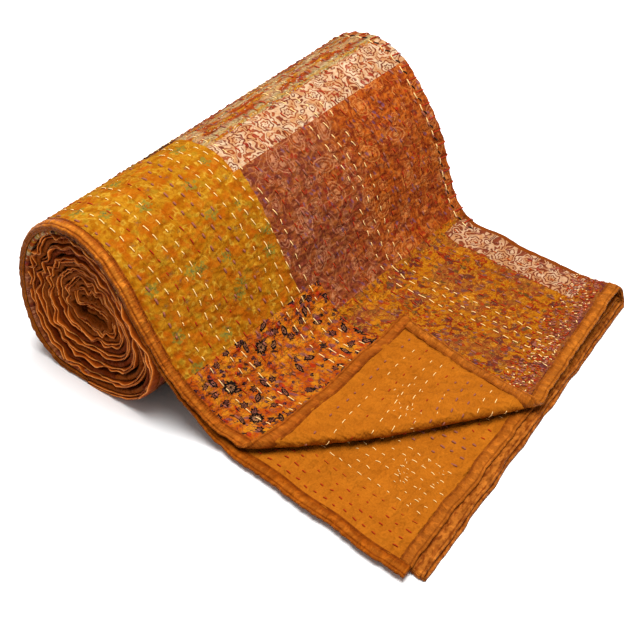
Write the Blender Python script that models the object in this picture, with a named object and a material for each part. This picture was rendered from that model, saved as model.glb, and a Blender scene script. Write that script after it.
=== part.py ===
"""Kantha quilt, folded lengthwise in four and rolled up, its outer end laid out flat in front of the roll.

Metres, +Z up. X runs along the roll's axis, and the loose end reaches towards -Y.
The folded strip has four plies. From the top down they are A1, B1, B2 and A2. Going across the quilt,
the path is A1, the outer fold at +X, A2, the fold at -X, B2, the inner fold at +X, and B1.
A1 and B1 end at -X in the quilt's two long bound edges. A1's corner is turned back over it.
"""

import math

import bmesh
import bpy
from mathutils import Vector

# Cloth
CLOTH_T = 0.0022
PLY_PITCH = 0.0026
BIND_W = 0.0120
GAP = 0.0003
PLY_DROP = {"A1": CLOTH_T / 2 + PLY_PITCH * 0, "B1": CLOTH_T / 2 + PLY_PITCH * 1, "B2": CLOTH_T / 2 + PLY_PITCH * 2, "A2": CLOTH_T / 2 + PLY_PITCH * 3}
PACK_T = CLOTH_T + PLY_PITCH * 3

# Roll
STRIP_W = 0.3810
ROLL_R = 0.0771
ROLL_SHAPE = (
    # waves round the outline, cosine share, sine share
    (2, 0.0214, 0.0314),
    (3, 0.0515, 0.0263),
    (4, -0.0061, -0.0132),
)
ROLL_SETTLE = 0.0029
ROLL_NEAR_Y, ROLL_FAR_Y, ROLL_FAR_SCALE = 0.0016, 0.0036, 1.010
ROLL_POINTS = 60
RIM = 0.0040
RIM_INSET = 0.0022

# Where the strip's top face leaves the roll and comes down to the surface, at its near (-X) and far (+X) edges
RAMP = (
    # name, near_y, near_z, far_y, far_z
    ("held", -0.0505, 0.1150, -0.0500, 0.1160),
    ("crown", -0.0634, 0.0950, -0.0632, 0.0950),
    ("leave", -0.0738, 0.0795, -0.0722, 0.0770),
    ("steep", -0.0850, 0.0615, -0.0777, 0.0580),
    ("slope", -0.0972, 0.0466, -0.0827, 0.0415),
    ("lower", -0.1095, 0.0335, -0.0890, 0.0280),
    ("foot", -0.1228, 0.0212, -0.0964, 0.0183),
    ("heel", -0.1375, 0.0125, -0.1058, 0.0123),
    ("flat", -0.1530, PACK_T, -0.1180, PACK_T),
)
RAMP_STEPS = 2

# The loose end's outline: each ply's bound end, as y at x = 0 and its slope in x
PLY_END = (
    # ply, y_at_0, slope
    ("A1", -0.3488, 0.218),
    ("B1", -0.3345, 0.178),
    ("B2", -0.3462, 0.196),
    ("A2", -0.3485, 0.198),
)
# The near edges: x where the ply leaves the roll, at the foot of the ramp and at its end
PLY_NEAR = (
    # ply, x_roll, x_foot, x_end, y_foot, y_end
    ("A1", 0.0020, 0.0192, 0.0661, -0.1553, -0.3620),
    ("B1", 0.0022, 0.0138, -0.0003, -0.1360, -0.3360),
    ("B2", 0.0050, 0.0170, 0.0120, -0.1400, -0.3400),
    ("A2", 0.0050, 0.0170, 0.0120, -0.1400, -0.3400),
)
ROLL_FAR_X, FLAT_FAR_X = 0.3795, 0.3777
INNER_FOLD_BACK = 0.0042
EDGE_WAVE, EDGE_WAVE_LEN = 0.0007, 0.067

# A1's turned-back corner
CREASE_FROM = Vector((0.0192, -0.1553))
CREASE_TO = Vector((0.2105, -0.3009))
CORNER_Y, CORNER_X = -0.3618, 0.0661
BEND_R = 0.0036
CREASE_BOW, CREASE_BOW_SPREAD = 0.0110, 0.045
CREASE_LIFT, CREASE_SPREAD = 0.0030, 0.034
FLAP_REST, FLAP_SETTLE = 0.0007, 0.055

# The bound edge over the roll's rim
BIND_START_DEG, BIND_MEETS_DEG, BIND_MEETS_RAMP = 62.0, -68.0, 1.5
BIND_PROUD = 0.0007

# The origin is below the middle of the whole
ORIGIN = Vector((0.1905, -0.1342, 0.0))

COLOURS = (
    # name, red, green, blue, roughness
    ("quilt", 0.56, 0.21, 0.035, 0.80),
    ("binding", 0.57, 0.20, 0.018, 0.62),
)


def table(rows, name, column):
    return next(row for row in rows if row[0] == name)[column]


def mix(a, b, t):
    return a + (b - a) * t


def smooth(t):
    t = min(max(t, 0.0), 1.0)
    return t * t * (3 - 2 * t)


def catmull(values, at):
    """The value at a place along a row of values, on a smooth curve through them."""
    i = min(int(at), len(values) - 2)
    t = at - i
    a, b = values[i], values[i + 1]
    before = values[i - 1] if i > 0 else 2 * a - b
    after = values[i + 2] if i + 2 < len(values) else 2 * b - a
    return 0.5 * (2 * a + (b - before) * t + (2 * before - 5 * a + 4 * b - after) * t * t + (3 * a - before - 3 * b + after) * t**3)


def outline(angle, x, grow=0.0):
    """(y, z) on the roll's outline. The angle runs from its top, and negative angles are on the loose end's side."""
    along = x / STRIP_W

    def radius(a):
        shape = sum(c * math.cos(n * a) + s * math.sin(n * a) for n, c, s in ROLL_SHAPE)
        return ROLL_R * mix(1.0, ROLL_FAR_SCALE, along) * (1 + shape)

    r = radius(angle) + grow
    y = r * math.sin(angle) + mix(ROLL_NEAR_Y, ROLL_FAR_Y, along)
    return y, max(r * math.cos(angle) + radius(math.pi) - ROLL_SETTLE, 0.0)


def ramp(at, x):
    """The strip's top face on the ramp: its place and its normal, in the plane of the roll's section."""
    along = min(max(x / STRIP_W, 0.0), 1.0)

    def place(a):
        y = mix(catmull([r[1] for r in RAMP], a), catmull([r[3] for r in RAMP], a), along)
        z = mix(catmull([r[2] for r in RAMP], a), catmull([r[4] for r in RAMP], a), along)
        return y, z

    last = len(RAMP) - 1.0
    y, z = place(at)
    y0, z0 = place(max(at - 0.05, 0.0))
    y1, z1 = place(min(at + 0.05, last))
    if at >= last - 1e-6:
        return y, z, 0.0, 1.0
    dy, dz = y1 - y0, z1 - z0
    size = math.hypot(dy, dz)
    return y, z, dz / size, -dy / size


def wave(y, phase):
    return EDGE_WAVE * math.sin(2 * math.pi * y / EDGE_WAVE_LEN + phase)


def near_x(ply, y):
    _, x_roll, x_foot, x_end, y_foot, y_end = next(row for row in PLY_NEAR if row[0] == ply)
    y_roll = RAMP[0][1]
    if y > y_foot:
        return mix(x_roll, x_foot, smooth((y_roll - y) / (y_roll - y_foot)))
    return mix(x_foot, x_end, (y_foot - y) / (y_foot - y_end)) + wave(y, 0.6) * smooth((y_foot - y) / 0.03)


def far_x(y):
    return mix(ROLL_FAR_X, FLAT_FAR_X, smooth((y - RAMP[0][3]) / (RAMP[-1][3] - RAMP[0][3]))) + wave(y, 2.1)


def end_y(ply, x):
    if ply == "A1" and x < CREASE_TO.x:
        at_crease = table(PLY_END, "A1", 1) + table(PLY_END, "A1", 2) * CREASE_TO.x
        return mix(CORNER_Y, at_crease, (x - CORNER_X) / (CREASE_TO.x - CORNER_X))
    return table(PLY_END, ply, 1) + table(PLY_END, ply, 2) * x


# A column is a place across the folded strip: (ply, share of the way from near to far, metres in from the near edge),
# or a step round a fold: (fold, angle, None).
FOLDS = {
    # name: (upper ply, lower ply, at the far side, inset of its outer face)
    "outer": ("A1", "A2", True, 0.0),
    "inner": ("B1", "B2", True, INNER_FOLD_BACK),
    "near": ("B2", "A2", False, 0.0),
}


def fold_radius(fold):
    upper, lower = FOLDS[fold][:2]
    return (PLY_DROP[lower] - PLY_DROP[upper]) / 2


def column_place(column, y):
    """(x, drop below the top face, outward lean) of a column's middle, where the strip is at y."""
    kind, share, inset = column
    if kind in FOLDS:
        upper, lower, far, back = FOLDS[kind]
        r = fold_radius(kind)
        middle = (PLY_DROP[upper] + PLY_DROP[lower]) / 2
        if far:
            centre = far_x(y) - back - CLOTH_T / 2 - r
            return centre + r * math.sin(share), middle - r * math.cos(share), (math.sin(share), math.cos(share))
        centre = near_x("A2", y) + CLOTH_T / 2 + r
        return centre - r * math.sin(share), middle - r * math.cos(share), (-math.sin(share), math.cos(share))
    turn = {"A1": ("outer", None), "A2": ("outer", "near"), "B2": ("inner", "near"), "B1": ("inner", None)}[kind]
    back = FOLDS[turn[0]][3]
    high = far_x(y) - back - CLOTH_T / 2 - fold_radius(turn[0])
    low = near_x("A2", y) + CLOTH_T / 2 + fold_radius("near") if turn[1] else near_x(kind, y)
    x = low + inset if inset is not None else mix(low + (BIND_W + 2 * GAP if turn[1] is None else 0.0), high, share)
    return x, PLY_DROP[kind], None


def column_ply(column):
    kind, share, _ = column
    if kind not in FOLDS:
        return kind, kind, 0.0
    upper, lower = FOLDS[kind][:2]
    return upper, lower, min(max(share / math.pi, 0.0), 1.0)


def column_faces(column, row):
    """The two faces of the cloth at a column and a row, as 3-D points: the face that looks up on A1 first."""
    kind, share, _ = column
    upper, lower, part = column_ply(column)
    stage, value = row
    side = {"A1": 1, "A2": -1, "B2": 1, "B1": -1}
    if stage == "ramp":
        y_guess, x = mix(RAMP[0][1], RAMP[-1][1], value / (len(RAMP) - 1)), 0.19
        for _ in range(3):
            x, drop, lean = column_place(column, y_guess)
            y_guess = ramp(value, x)[0]
        y, z, ny, nz = ramp(value, x)
    else:
        x = 0.19
        for _ in range(4):
            start = ramp(len(RAMP) - 1.0, x)[0]
            end = mix(end_y(upper, x), end_y(lower, x), part)
            y = mix(start, end + BIND_W + 2 * GAP, value) if stage == "flat" else end + value
            x, drop, lean = column_place(column, y)
        z, ny, nz = PACK_T, 0.0, 1.0
    base = Vector((x, y - ny * drop, z - nz * drop))
    if lean is None:
        out = Vector((0.0, ny, nz)) * side[kind]
    else:
        # The front face looks outwards on the outer and near folds, and inwards on the inner fold.
        out = Vector((lean[0], ny * lean[1], nz * lean[1])) * {"outer": 1, "near": 1, "inner": 1}[kind]
        if kind == "near":
            out = Vector((lean[0], ny * lean[1], nz * lean[1]))
        if kind == "inner":
            out = -out
    return base + out * (CLOTH_T / 2), base - out * (CLOTH_T / 2)


def arc(fold, steps, reverse=False):
    angles = [math.pi * i / steps for i in range(1, steps)]
    return [(fold, a, None) for a in (reversed(angles) if reverse else angles)]


def ply(name, shares):
    return [(name, s, None) for s in shares]


def evenly(count):
    return [i / (count - 1) for i in range(count)]


def body_columns():
    across = evenly(9)
    return (
        ply("A1", across)
        + arc("outer", 6)
        + ply("A2", across[::-1])
        + arc("near", 4, reverse=True)
        + ply("B2", across)
        + arc("inner", 4, reverse=True)
        + ply("B1", across[::-1])
    )


def ramp_rows(first, last):
    count = int(round((last - first) * RAMP_STEPS))
    return [("ramp", first + (last - first) * i / count) for i in range(count + 1)]


def flat_rows(count):
    return [("flat", (i + 1) / count) for i in range(count)]


def grid_solid(name, rows, collection, top_columns=0):
    """One closed body from rows of (front, back) point pairs. The first top_columns of them are A1's."""
    mesh = bmesh.new()
    top = mesh.verts.layers.float.new("top")
    front = [[mesh.verts.new(p[0]) for p in row] for row in rows]
    back = [[mesh.verts.new(p[1]) for p in row] for row in rows]
    for row in front + back:
        for vert in row[:top_columns]:
            vert[top] = 1.0
    for i in range(len(rows) - 1):
        for j in range(len(rows[0]) - 1):
            mesh.faces.new((front[i][j], front[i + 1][j], front[i + 1][j + 1], front[i][j + 1]))
            mesh.faces.new((back[i][j], back[i][j + 1], back[i + 1][j + 1], back[i + 1][j]))
        for j in (0, -1):
            mesh.faces.new((front[i][j], front[i + 1][j], back[i + 1][j], back[i][j]))
    for j in range(len(rows[0]) - 1):
        for i in (0, -1):
            mesh.faces.new((front[i][j], front[i][j + 1], back[i][j + 1], back[i][j]))
    bmesh.ops.recalc_face_normals(mesh, faces=mesh.faces)
    return put(name, mesh, collection)


def put(name, mesh, collection):
    data = bpy.data.meshes.new(name)
    mesh.to_mesh(data)
    mesh.free()
    made = bpy.data.objects.new(name, data)
    collection.objects.link(made)
    return made


def crease_frame():
    along = (CREASE_TO - CREASE_FROM).normalized()
    beyond = Vector((along.y, -along.x))
    if beyond.x > 0:
        beyond = -beyond
    return CREASE_FROM - beyond * (BEND_R + CLOTH_T / 2), along, beyond


def bow(s):
    """How far the crease bows outwards, at a distance along it."""
    t = s / (CREASE_TO - CREASE_FROM).length
    return CREASE_BOW * math.sin(math.pi * t**0.8) if 0.0 < t < 1.0 else 0.0


def turn_back(made):
    """Turns A1's near corner back over itself round a soft crease, and lifts the cloth beside the crease."""
    start, along, beyond = crease_frame()
    mesh = bmesh.new()
    mesh.from_mesh(made.data)
    top = mesh.verts.layers.float["top"]

    def past(co):
        return (co.x - start.x) * beyond.x + (co.y - start.y) * beyond.y

    def bowed(co, d):
        s = (co.x - start.x) * along.x + (co.y - start.y) * along.y
        return bow(s) * (math.exp(-((d / CREASE_BOW_SPREAD) ** 2)) if d < 0.0 else 1.0)

    def slide(co, amount):
        co.x += beyond.x * amount
        co.y += beyond.y * amount

    for vert in mesh.verts:
        if vert[top] > 0.5:
            slide(vert.co, -bowed(vert.co, past(vert.co)))
    round_it = math.pi * BEND_R
    cuts = [-0.060, -0.040, -0.024, -0.010] + [round_it * i / 6 for i in range(7)] + [round_it + d for d in (0.014, 0.032, 0.055)]
    for cut in cuts:
        faces = [f for f in mesh.faces if all(v[top] > 0.5 for v in f.verts)]
        geometry = list({e for f in faces for e in f.edges}) + list({v for f in faces for v in f.verts}) + faces
        where = start + beyond * cut
        bmesh.ops.bisect_plane(mesh, geom=geometry, dist=1e-7, plane_co=(where.x, where.y, 0.0), plane_no=(beyond.x, beyond.y, 0.0))
    middle = PACK_T - CLOTH_T / 2
    for vert in mesh.verts:
        co = vert.co
        d = past(co)
        if vert[top] < 0.5:
            continue
        if d <= 0.0:
            if d > -3 * CREASE_SPREAD:
                co.z += CREASE_LIFT * math.exp(-((d / CREASE_SPREAD) ** 2))
            back = d
            for _ in range(8):
                back = d + bowed(co, back)
            slide(co, back - d)
            continue
        h = co.z - middle
        turned = min(d / BEND_R, math.pi)
        rest = max(d - round_it, 0.0)
        shift = bowed(co, 0.0)
        near_crease = math.exp(-rest / CREASE_BOW_SPREAD)
        reach = (BEND_R - h) * math.sin(turned) - rest + shift * (2 * near_crease - 1)
        height = BEND_R - (BEND_R - h) * math.cos(turned)
        height -= (2 * BEND_R - CLOTH_T - FLAP_REST) * smooth(rest / FLAP_SETTLE)
        slide(co, reach - d)
        co.z = middle + height + CREASE_LIFT * math.exp(-((rest / CREASE_SPREAD) ** 2))
    bmesh.ops.recalc_face_normals(mesh, faces=mesh.faces)
    mesh.to_mesh(made.data)
    mesh.free()


def roll_solid(name, collection):
    mesh = bmesh.new()
    stations = [(0.0, -RIM_INSET), (RIM, 0.0)] + [(STRIP_W * s, 0.0) for s in (0.25, 0.5, 0.75)] + [(STRIP_W - RIM, 0.0), (STRIP_W, -RIM_INSET)]
    rings = []
    for x, grow in stations:
        ring = [outline(2 * math.pi * i / ROLL_POINTS, x, grow) for i in range(ROLL_POINTS)]
        rings.append([mesh.verts.new((x, y, z)) for y, z in ring])
    for a, b in zip(rings, rings[1:]):
        for i in range(ROLL_POINTS):
            j = (i + 1) % ROLL_POINTS
            mesh.faces.new((a[i], a[j], b[j], b[i]))
    mesh.faces.new(rings[0])
    mesh.faces.new(rings[-1])
    bmesh.ops.recalc_face_normals(mesh, faces=mesh.faces)
    return put(name, mesh, collection)


def rim_path(x, rows_on_roll, start_deg):
    """The top face of A1's bound edge over the roll's rim, at one x: place and normal."""
    found = []
    held = math.radians(start_deg)
    meets = math.radians(BIND_MEETS_DEG)
    for i in range(rows_on_roll):
        angle = mix(held, meets, i / (rows_on_roll - 1))
        y, z = outline(angle, x, BIND_PROUD)
        y0, z0 = outline(angle + 0.02, x, BIND_PROUD)
        y1, z1 = outline(angle - 0.02, x, BIND_PROUD)
        size = math.hypot(y1 - y0, z1 - z0)
        found.append((y, z, (z1 - z0) / size, -(y1 - y0) / size))
    return found


def edge_strip(name, ply_name, collection, from_x, to_x, up, down, rows_on_roll, first, flat, start_deg=BIND_START_DEG):
    """A strip along a ply's near edge, from_x to to_x in from it, between up and down from the ply's middle."""
    drop = PLY_DROP[ply_name]
    rows = []
    if rows_on_roll:
        paths = {}
        for inset in (from_x, to_x):
            x = max(near_x(ply_name, RAMP[0][1]) + inset, -0.02)
            paths[inset] = [(x, *p) for p in rim_path(max(x, 0.0), rows_on_roll, start_deg)]
        for i in range(rows_on_roll):
            pair = []
            for inset in (from_x, to_x):
                x, y, z, ny, nz = paths[inset][i]
                pair.append((Vector((x, y + ny * (up - drop), z + nz * (up - drop))), Vector((x, y + ny * (down - drop), z + nz * (down - drop)))))
            rows.append(pair)
    for stage, value in ramp_rows(first, len(RAMP) - 1.0) + ([] if not flat else [("flat", (i + 1) / flat) for i in range(flat)] + [("end", 0.0)]):
        pair = []
        for inset in (from_x, to_x):
            x = 0.01
            for _ in range(4):
                if stage == "ramp":
                    y, z, ny, nz = ramp(value, x)
                else:
                    start = ramp(len(RAMP) - 1.0, x)[0]
                    end = end_y(ply_name, x)
                    y = mix(start, end + BIND_W + 2 * GAP, value) if stage == "flat" else end + value
                    z, ny, nz = PACK_T, 0.0, 1.0
                x = near_x(ply_name, y) + inset
            pair.append((Vector((x, y + ny * (up - drop), z + nz * (up - drop))), Vector((x, y + ny * (down - drop), z + nz * (down - drop)))))
        rows.append(pair)
    return grid_solid(name, rows, collection, 2 if ply_name == "A1" else 0)


def boolean(made, other, operation):
    modifier = made.modifiers.new(other.name, "BOOLEAN")
    modifier.operation = operation
    modifier.solver = "EXACT"
    modifier.object = other
    return modifier


def material(name):
    row = next(r for r in COLOURS if r[0] == name)
    made = bpy.data.materials.new(name)
    made.use_nodes = True
    shader = made.node_tree.nodes["Principled BSDF"]
    shader.inputs["Base Color"].default_value = (row[1], row[2], row[3], 1.0)
    shader.inputs["Roughness"].default_value = row[4]
    shader.inputs["Metallic"].default_value = 0.0
    made.diffuse_color = (row[1], row[2], row[3], 1.0)
    return made


def clear():
    for found in list(bpy.data.objects):
        bpy.data.objects.remove(found, do_unlink=True)


def build():
    clear()
    parts = bpy.data.collections.new("kantha_quilt")
    cutters = bpy.data.collections.new("cutters")
    bpy.context.scene.collection.children.link(parts)
    bpy.context.scene.collection.children.link(cutters)
    half = CLOTH_T / 2

    # The folded loose end, up to where its binding starts
    columns = body_columns()
    rows = ramp_rows(0.0, len(RAMP) - 1.0) + flat_rows(7)
    on_a1 = sum(c[0] == "A1" for c in columns)
    loose = grid_solid("loose_end", [[column_faces(c, r) for c in columns] for r in rows], cutters, on_a1)
    turn_back(loose)

    quilt = roll_solid("quilt", parts)
    boolean(quilt, loose, "UNION")

    # The binding over all four plies' ends, butted to the edge bindings at the two free corners
    free = BIND_W + GAP
    end_columns = [("A1", None, free)] + columns[1:-1] + [("B1", None, free)]
    end_rows = [("end", BIND_W), ("end", 0.0)]
    end = grid_solid("binding_end", [[column_faces(c, r) for c in end_columns] for r in end_rows], parts, on_a1)
    turn_back(end)

    # The bindings on the two long edges: A1's runs over the roll's rim, and B1's comes out from under it
    top = edge_strip("binding_top", "A1", parts, 0.0, BIND_W, half, -half, 17, BIND_MEETS_RAMP, 7)
    turn_back(top)
    under = edge_strip("binding_under", "B1", parts, 0.0, BIND_W, half, -half, 0, 2.0, 7)

    rim_cut = edge_strip("rim_cut", "A1", cutters, -0.02, free, 0.008, -half - GAP, 17, BIND_MEETS_RAMP, 0, BIND_START_DEG + 0.4)
    under_cut = edge_strip("under_cut", "B1", cutters, -0.02, free, half + GAP, -half - GAP, 0, 1.7, 0)
    boolean(quilt, rim_cut, "DIFFERENCE")
    boolean(quilt, under_cut, "DIFFERENCE")

    paint = {name: material(name) for name in ("quilt", "binding")}
    for made in parts.objects:
        made.data.materials.append(paint["quilt" if made.name == "quilt" else "binding"])
        made.data.shade_smooth()
        made.data.set_sharp_from_angle(angle=math.radians(35))
    for made in list(parts.objects) + list(cutters.objects):
        made.location = -ORIGIN
    for made in cutters.objects:
        made.hide_render = True
        made.display_type = "WIRE"


build()
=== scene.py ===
"""Looks of the kantha quilt: patchwork, stitching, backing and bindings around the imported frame.

Metres, +Z up. Shapes are worked out in part.py's local frame (x = 0 at the near end of the folded strip) and
moved by ORIGIN when a mesh is made. A place on the cloth is (u, v): u across the folded strip, v along it,
counted from the top of the roll towards the loose end.
"""

import math

import bpy
import numpy as np
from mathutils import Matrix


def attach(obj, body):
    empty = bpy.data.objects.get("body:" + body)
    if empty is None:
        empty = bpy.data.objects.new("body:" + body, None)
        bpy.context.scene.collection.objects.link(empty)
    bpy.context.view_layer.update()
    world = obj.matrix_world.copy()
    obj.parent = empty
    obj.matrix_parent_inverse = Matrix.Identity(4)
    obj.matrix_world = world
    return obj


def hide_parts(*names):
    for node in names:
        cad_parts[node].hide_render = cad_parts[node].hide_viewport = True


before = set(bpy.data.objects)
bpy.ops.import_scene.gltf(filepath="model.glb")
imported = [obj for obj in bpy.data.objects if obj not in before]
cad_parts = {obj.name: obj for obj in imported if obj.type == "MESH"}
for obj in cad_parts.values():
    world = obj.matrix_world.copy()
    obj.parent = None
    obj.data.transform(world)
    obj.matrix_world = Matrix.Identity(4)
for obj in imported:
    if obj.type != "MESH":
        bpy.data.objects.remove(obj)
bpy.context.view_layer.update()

# ---------------------------------------------------------------- part.py's numbers
CLOTH_T = 0.0022
PLY_PITCH = 0.0026
BIND_W = 0.0120
PACK_T = 0.0100
STRIP_W = 0.3810
ROLL_R = 0.0771
ROLL_SHAPE = ((2, 0.0214, 0.0314), (3, 0.0515, 0.0263), (4, -0.0061, -0.0132))
ROLL_SETTLE = 0.0029
ROLL_NEAR_Y, ROLL_FAR_Y, ROLL_FAR_SCALE = 0.0016, 0.0036, 1.010
RAMP = (
    # name, near_y, near_z, far_y, far_z
    ("leave", -0.0738, 0.0795, -0.0722, 0.0770),
    ("steep", -0.0850, 0.0615, -0.0777, 0.0580),
    ("slope", -0.0972, 0.0466, -0.0827, 0.0415),
    ("lower", -0.1095, 0.0335, -0.0890, 0.0280),
    ("foot", -0.1228, 0.0212, -0.0964, 0.0183),
    ("heel", -0.1375, 0.0125, -0.1058, 0.0123),
    ("flat", -0.1530, PACK_T, -0.1180, PACK_T),
)
PLY_END = {"A1": (-0.3488, 0.218), "B1": (-0.3345, 0.178), "B2": (-0.3462, 0.196), "A2": (-0.3485, 0.198)}
PLY_NEAR = {
    # ply: x_roll, x_foot, x_end, y_foot, y_end
    "A1": (0.0020, 0.0192, 0.0661, -0.1553, -0.3620),
    "B1": (0.0022, 0.0138, -0.0003, -0.1360, -0.3360),
    "B2": (0.0034, 0.0170, 0.0120, -0.1400, -0.3400),
    "A2": (0.0034, 0.0170, 0.0120, -0.1400, -0.3400),
}
PLY_INDEX = {"A1": 0, "B1": 1, "B2": 2, "A2": 3}
ROLL_FAR_X, FLAT_FAR_X = 0.3795, 0.3777
INNER_FOLD_BACK = 0.0042
EDGE_WAVE, EDGE_WAVE_LEN = 0.0007, 0.067
CREASE_FROM, CREASE_TO = np.array((0.0192, -0.1553)), np.array((0.2105, -0.3009))
CORNER_X, CORNER_Y = 0.0661, -0.3618
BEND_R = 0.0036
CREASE_BOW, CREASE_BOW_SPREAD = 0.0110, 0.045
CREASE_LIFT, CREASE_SPREAD = 0.0030, 0.034
FLAP_REST, FLAP_SETTLE = 0.0007, 0.055
ORIGIN = np.array((0.1905, -0.1342, 0.0))

# ---------------------------------------------------------------- this script's own numbers
ROLL_PLY_PITCH = 0.00235
V_START, V_FLAT = -0.2457, 0.235
U_NEAR, U_FAR = 0.0020, 0.3745
ROW_PITCH, ROW_FIRST = 0.0120, 0.0170
PITCH = 0.0094
LEAVES_DEG = -61.0
CORE_R = 0.0205


def mix(a, b, t):
    return a + (b - a) * t


def smooth(t):
    t = np.clip(t, 0.0, 1.0)
    return t * t * (3 - 2 * t)


def waves(a, b, wavelength, seed, count=7):
    """A smooth uneven field from -1 to 1 with about this wavelength."""
    rng = np.random.default_rng(seed)
    total = 0.0
    for _ in range(count):
        turn, phase, size = rng.uniform(0, math.pi), rng.uniform(0, 2 * math.pi), rng.uniform(0.7, 1.5)
        k = 2 * math.pi / (wavelength * size)
        total = total + np.sin(k * (a * math.cos(turn) + b * math.sin(turn)) + phase)
    return total / math.sqrt(count) * 0.8


# ---------------------------------------------------------------- the strip's path
def shape(angle):
    return sum(c * np.cos(n * angle) + s * np.sin(n * angle) for n, c, s in ROLL_SHAPE)


def outline(angle, x):
    along = x / STRIP_W
    r0 = ROLL_R * mix(1.0, ROLL_FAR_SCALE, along)
    r = r0 * (1 + shape(angle))
    y = r * np.sin(angle) + mix(ROLL_NEAR_Y, ROLL_FAR_Y, along)
    return y, np.maximum(r * np.cos(angle) + r0 * (1 + shape(math.pi)) - ROLL_SETTLE, 0.0)


TABLE_X = np.linspace(-0.012, 0.393, 10)
TABLE_STEP = 0.0005
TABLE_V = np.arange(V_START - 0.004, 0.53, TABLE_STEP)


def make_tables():
    """The strip's top face as (y, z) at steps of its own length, for some places across the roll."""
    ys, zs = [], []
    for x in TABLE_X:
        over = np.radians(np.arange(200.0, -50.0, -1.0))
        y0, z0 = outline(over, x)
        along = np.clip(x / STRIP_W, -0.05, 1.05)
        knots = [outline(math.radians(a), x) for a in (-41.0, -50.0, -59.0, -67.0)]
        knots += [(mix(r[1], r[3], along), mix(r[2], r[4], along)) for r in RAMP]
        last = knots[-1][0]
        knots += [(last - 0.016, PACK_T), (last - 0.032, PACK_T)]
        k = np.array([(float(a), float(b)) for a, b in knots])
        found = []
        for i in range(1, len(k) - 2):
            t = np.linspace(0, 1, 40, endpoint=False)[:, None]
            a, b, c, d = k[i - 1], k[i], k[i + 1], k[i + 2]
            found.append(0.5 * (2 * b + (c - a) * t + (2 * a - 5 * b + 4 * c - d) * t**2 + (3 * b - a - 3 * c + d) * t**3))
        curve = np.concatenate(found)
        keep = np.degrees(over) > -49.5
        y, z = np.concatenate([y0[keep], curve[:, 0]]), np.concatenate([z0[keep], curve[:, 1]])
        flat = y[-1] - np.arange(0.002, 0.36, 0.002)
        y, z = np.concatenate([y, flat]), np.concatenate([z, np.full(len(flat), PACK_T)])
        s = np.concatenate([[0.0], np.cumsum(np.hypot(np.diff(y), np.diff(z)))])
        top = s[np.argmin(np.abs(over))]
        ys.append(np.interp(TABLE_V, s - top, y))
        zs.append(np.interp(TABLE_V, s - top, z))
    ys, zs = np.array(ys), np.array(zs)
    dy, dz = np.gradient(ys, axis=1), np.gradient(zs, axis=1)
    for _ in range(12):
        dy[:, 1:-1] = (dy[:, :-2] + 2 * dy[:, 1:-1] + dy[:, 2:]) / 4
        dz[:, 1:-1] = (dz[:, :-2] + 2 * dz[:, 1:-1] + dz[:, 2:]) / 4
    size = np.maximum(np.hypot(dy, dz), 1e-12)
    return ys, zs, dz / size, -dy / size


PATH_Y, PATH_Z, PATH_NY, PATH_NZ = make_tables()


def look(table, x, v):
    x, v = np.broadcast_arrays(np.asarray(x, float), np.asarray(v, float))
    fx = np.clip((x - TABLE_X[0]) / (TABLE_X[1] - TABLE_X[0]), 0, len(TABLE_X) - 1.001)
    fv = np.clip((v - TABLE_V[0]) / TABLE_STEP, 0, len(TABLE_V) - 1.001)
    i, j = fx.astype(int), fv.astype(int)
    a, b = fx - i, fv - j
    return (table[i, j] * (1 - a) + table[i + 1, j] * a) * (1 - b) + (table[i, j + 1] * (1 - a) + table[i + 1, j + 1] * a) * b


def edge_wave(y, phase):
    return EDGE_WAVE * np.sin(2 * math.pi * y / EDGE_WAVE_LEN + phase)


def near_x(ply, y):
    x_roll, x_foot, x_end, y_foot, y_end = PLY_NEAR[ply]
    on_ramp = mix(x_roll, x_foot, smooth((-0.0505 - y) / (-0.0505 - y_foot)))
    flat = mix(x_foot, x_end, (y_foot - y) / (y_foot - y_end)) + edge_wave(y, 0.6) * smooth((y_foot - y) / 0.03)
    return np.where(y > y_foot, on_ramp, flat)


def far_x(y):
    return mix(ROLL_FAR_X, FLAT_FAR_X, smooth((-0.0500 - y) / 0.0680)) + edge_wave(y, 2.1)


def end_y(ply, x):
    a, b = PLY_END[ply]
    line = a + b * x + 0.0009 * waves(x, x * 0, 0.060, 90 + PLY_INDEX[ply]) * smooth((x - 0.03) / 0.03)
    if ply == "A1":
        corner = mix(CORNER_Y, a + b * CREASE_TO[0], (x - CORNER_X) / (CREASE_TO[0] - CORNER_X))
        line = np.where(x < CREASE_TO[0], corner, line)
    return line


def drop_of(index, v):
    """How far below the top face a ply's middle is: the rolled plies lie a little closer than the loose ones."""
    loose = smooth((v - 0.06) / 0.07)
    return mix(0.00105 + ROLL_PLY_PITCH * index, CLOTH_T / 2 + PLY_PITCH * index, loose)


FOLDS = {
    # name: (upper ply, lower ply, at the far side, inset of its outer face)
    "outer": ("A1", "A2", True, 0.0),
    "inner": ("B1", "B2", True, INNER_FOLD_BACK),
    "near": ("B2", "A2", False, 0.0),
}
SIDE = {"A1": 1.0, "A2": -1.0, "B2": 1.0, "B1": -1.0}


def fold_radius(fold):
    upper, lower = FOLDS[fold][:2]
    return (PLY_INDEX[lower] - PLY_INDEX[upper]) * PLY_PITCH / 2


def scallop(y, v):
    """The far fold pulled in at each of its bold stitches, on the roll and the ramp."""
    return -0.0011 * (0.5 + 0.5 * np.cos(2 * math.pi * v / 0.0130 + 1.2 * np.sin(v * 31))) * smooth((0.205 - v) / 0.03) - 0.0003 * np.sin(v * 160)


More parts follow.
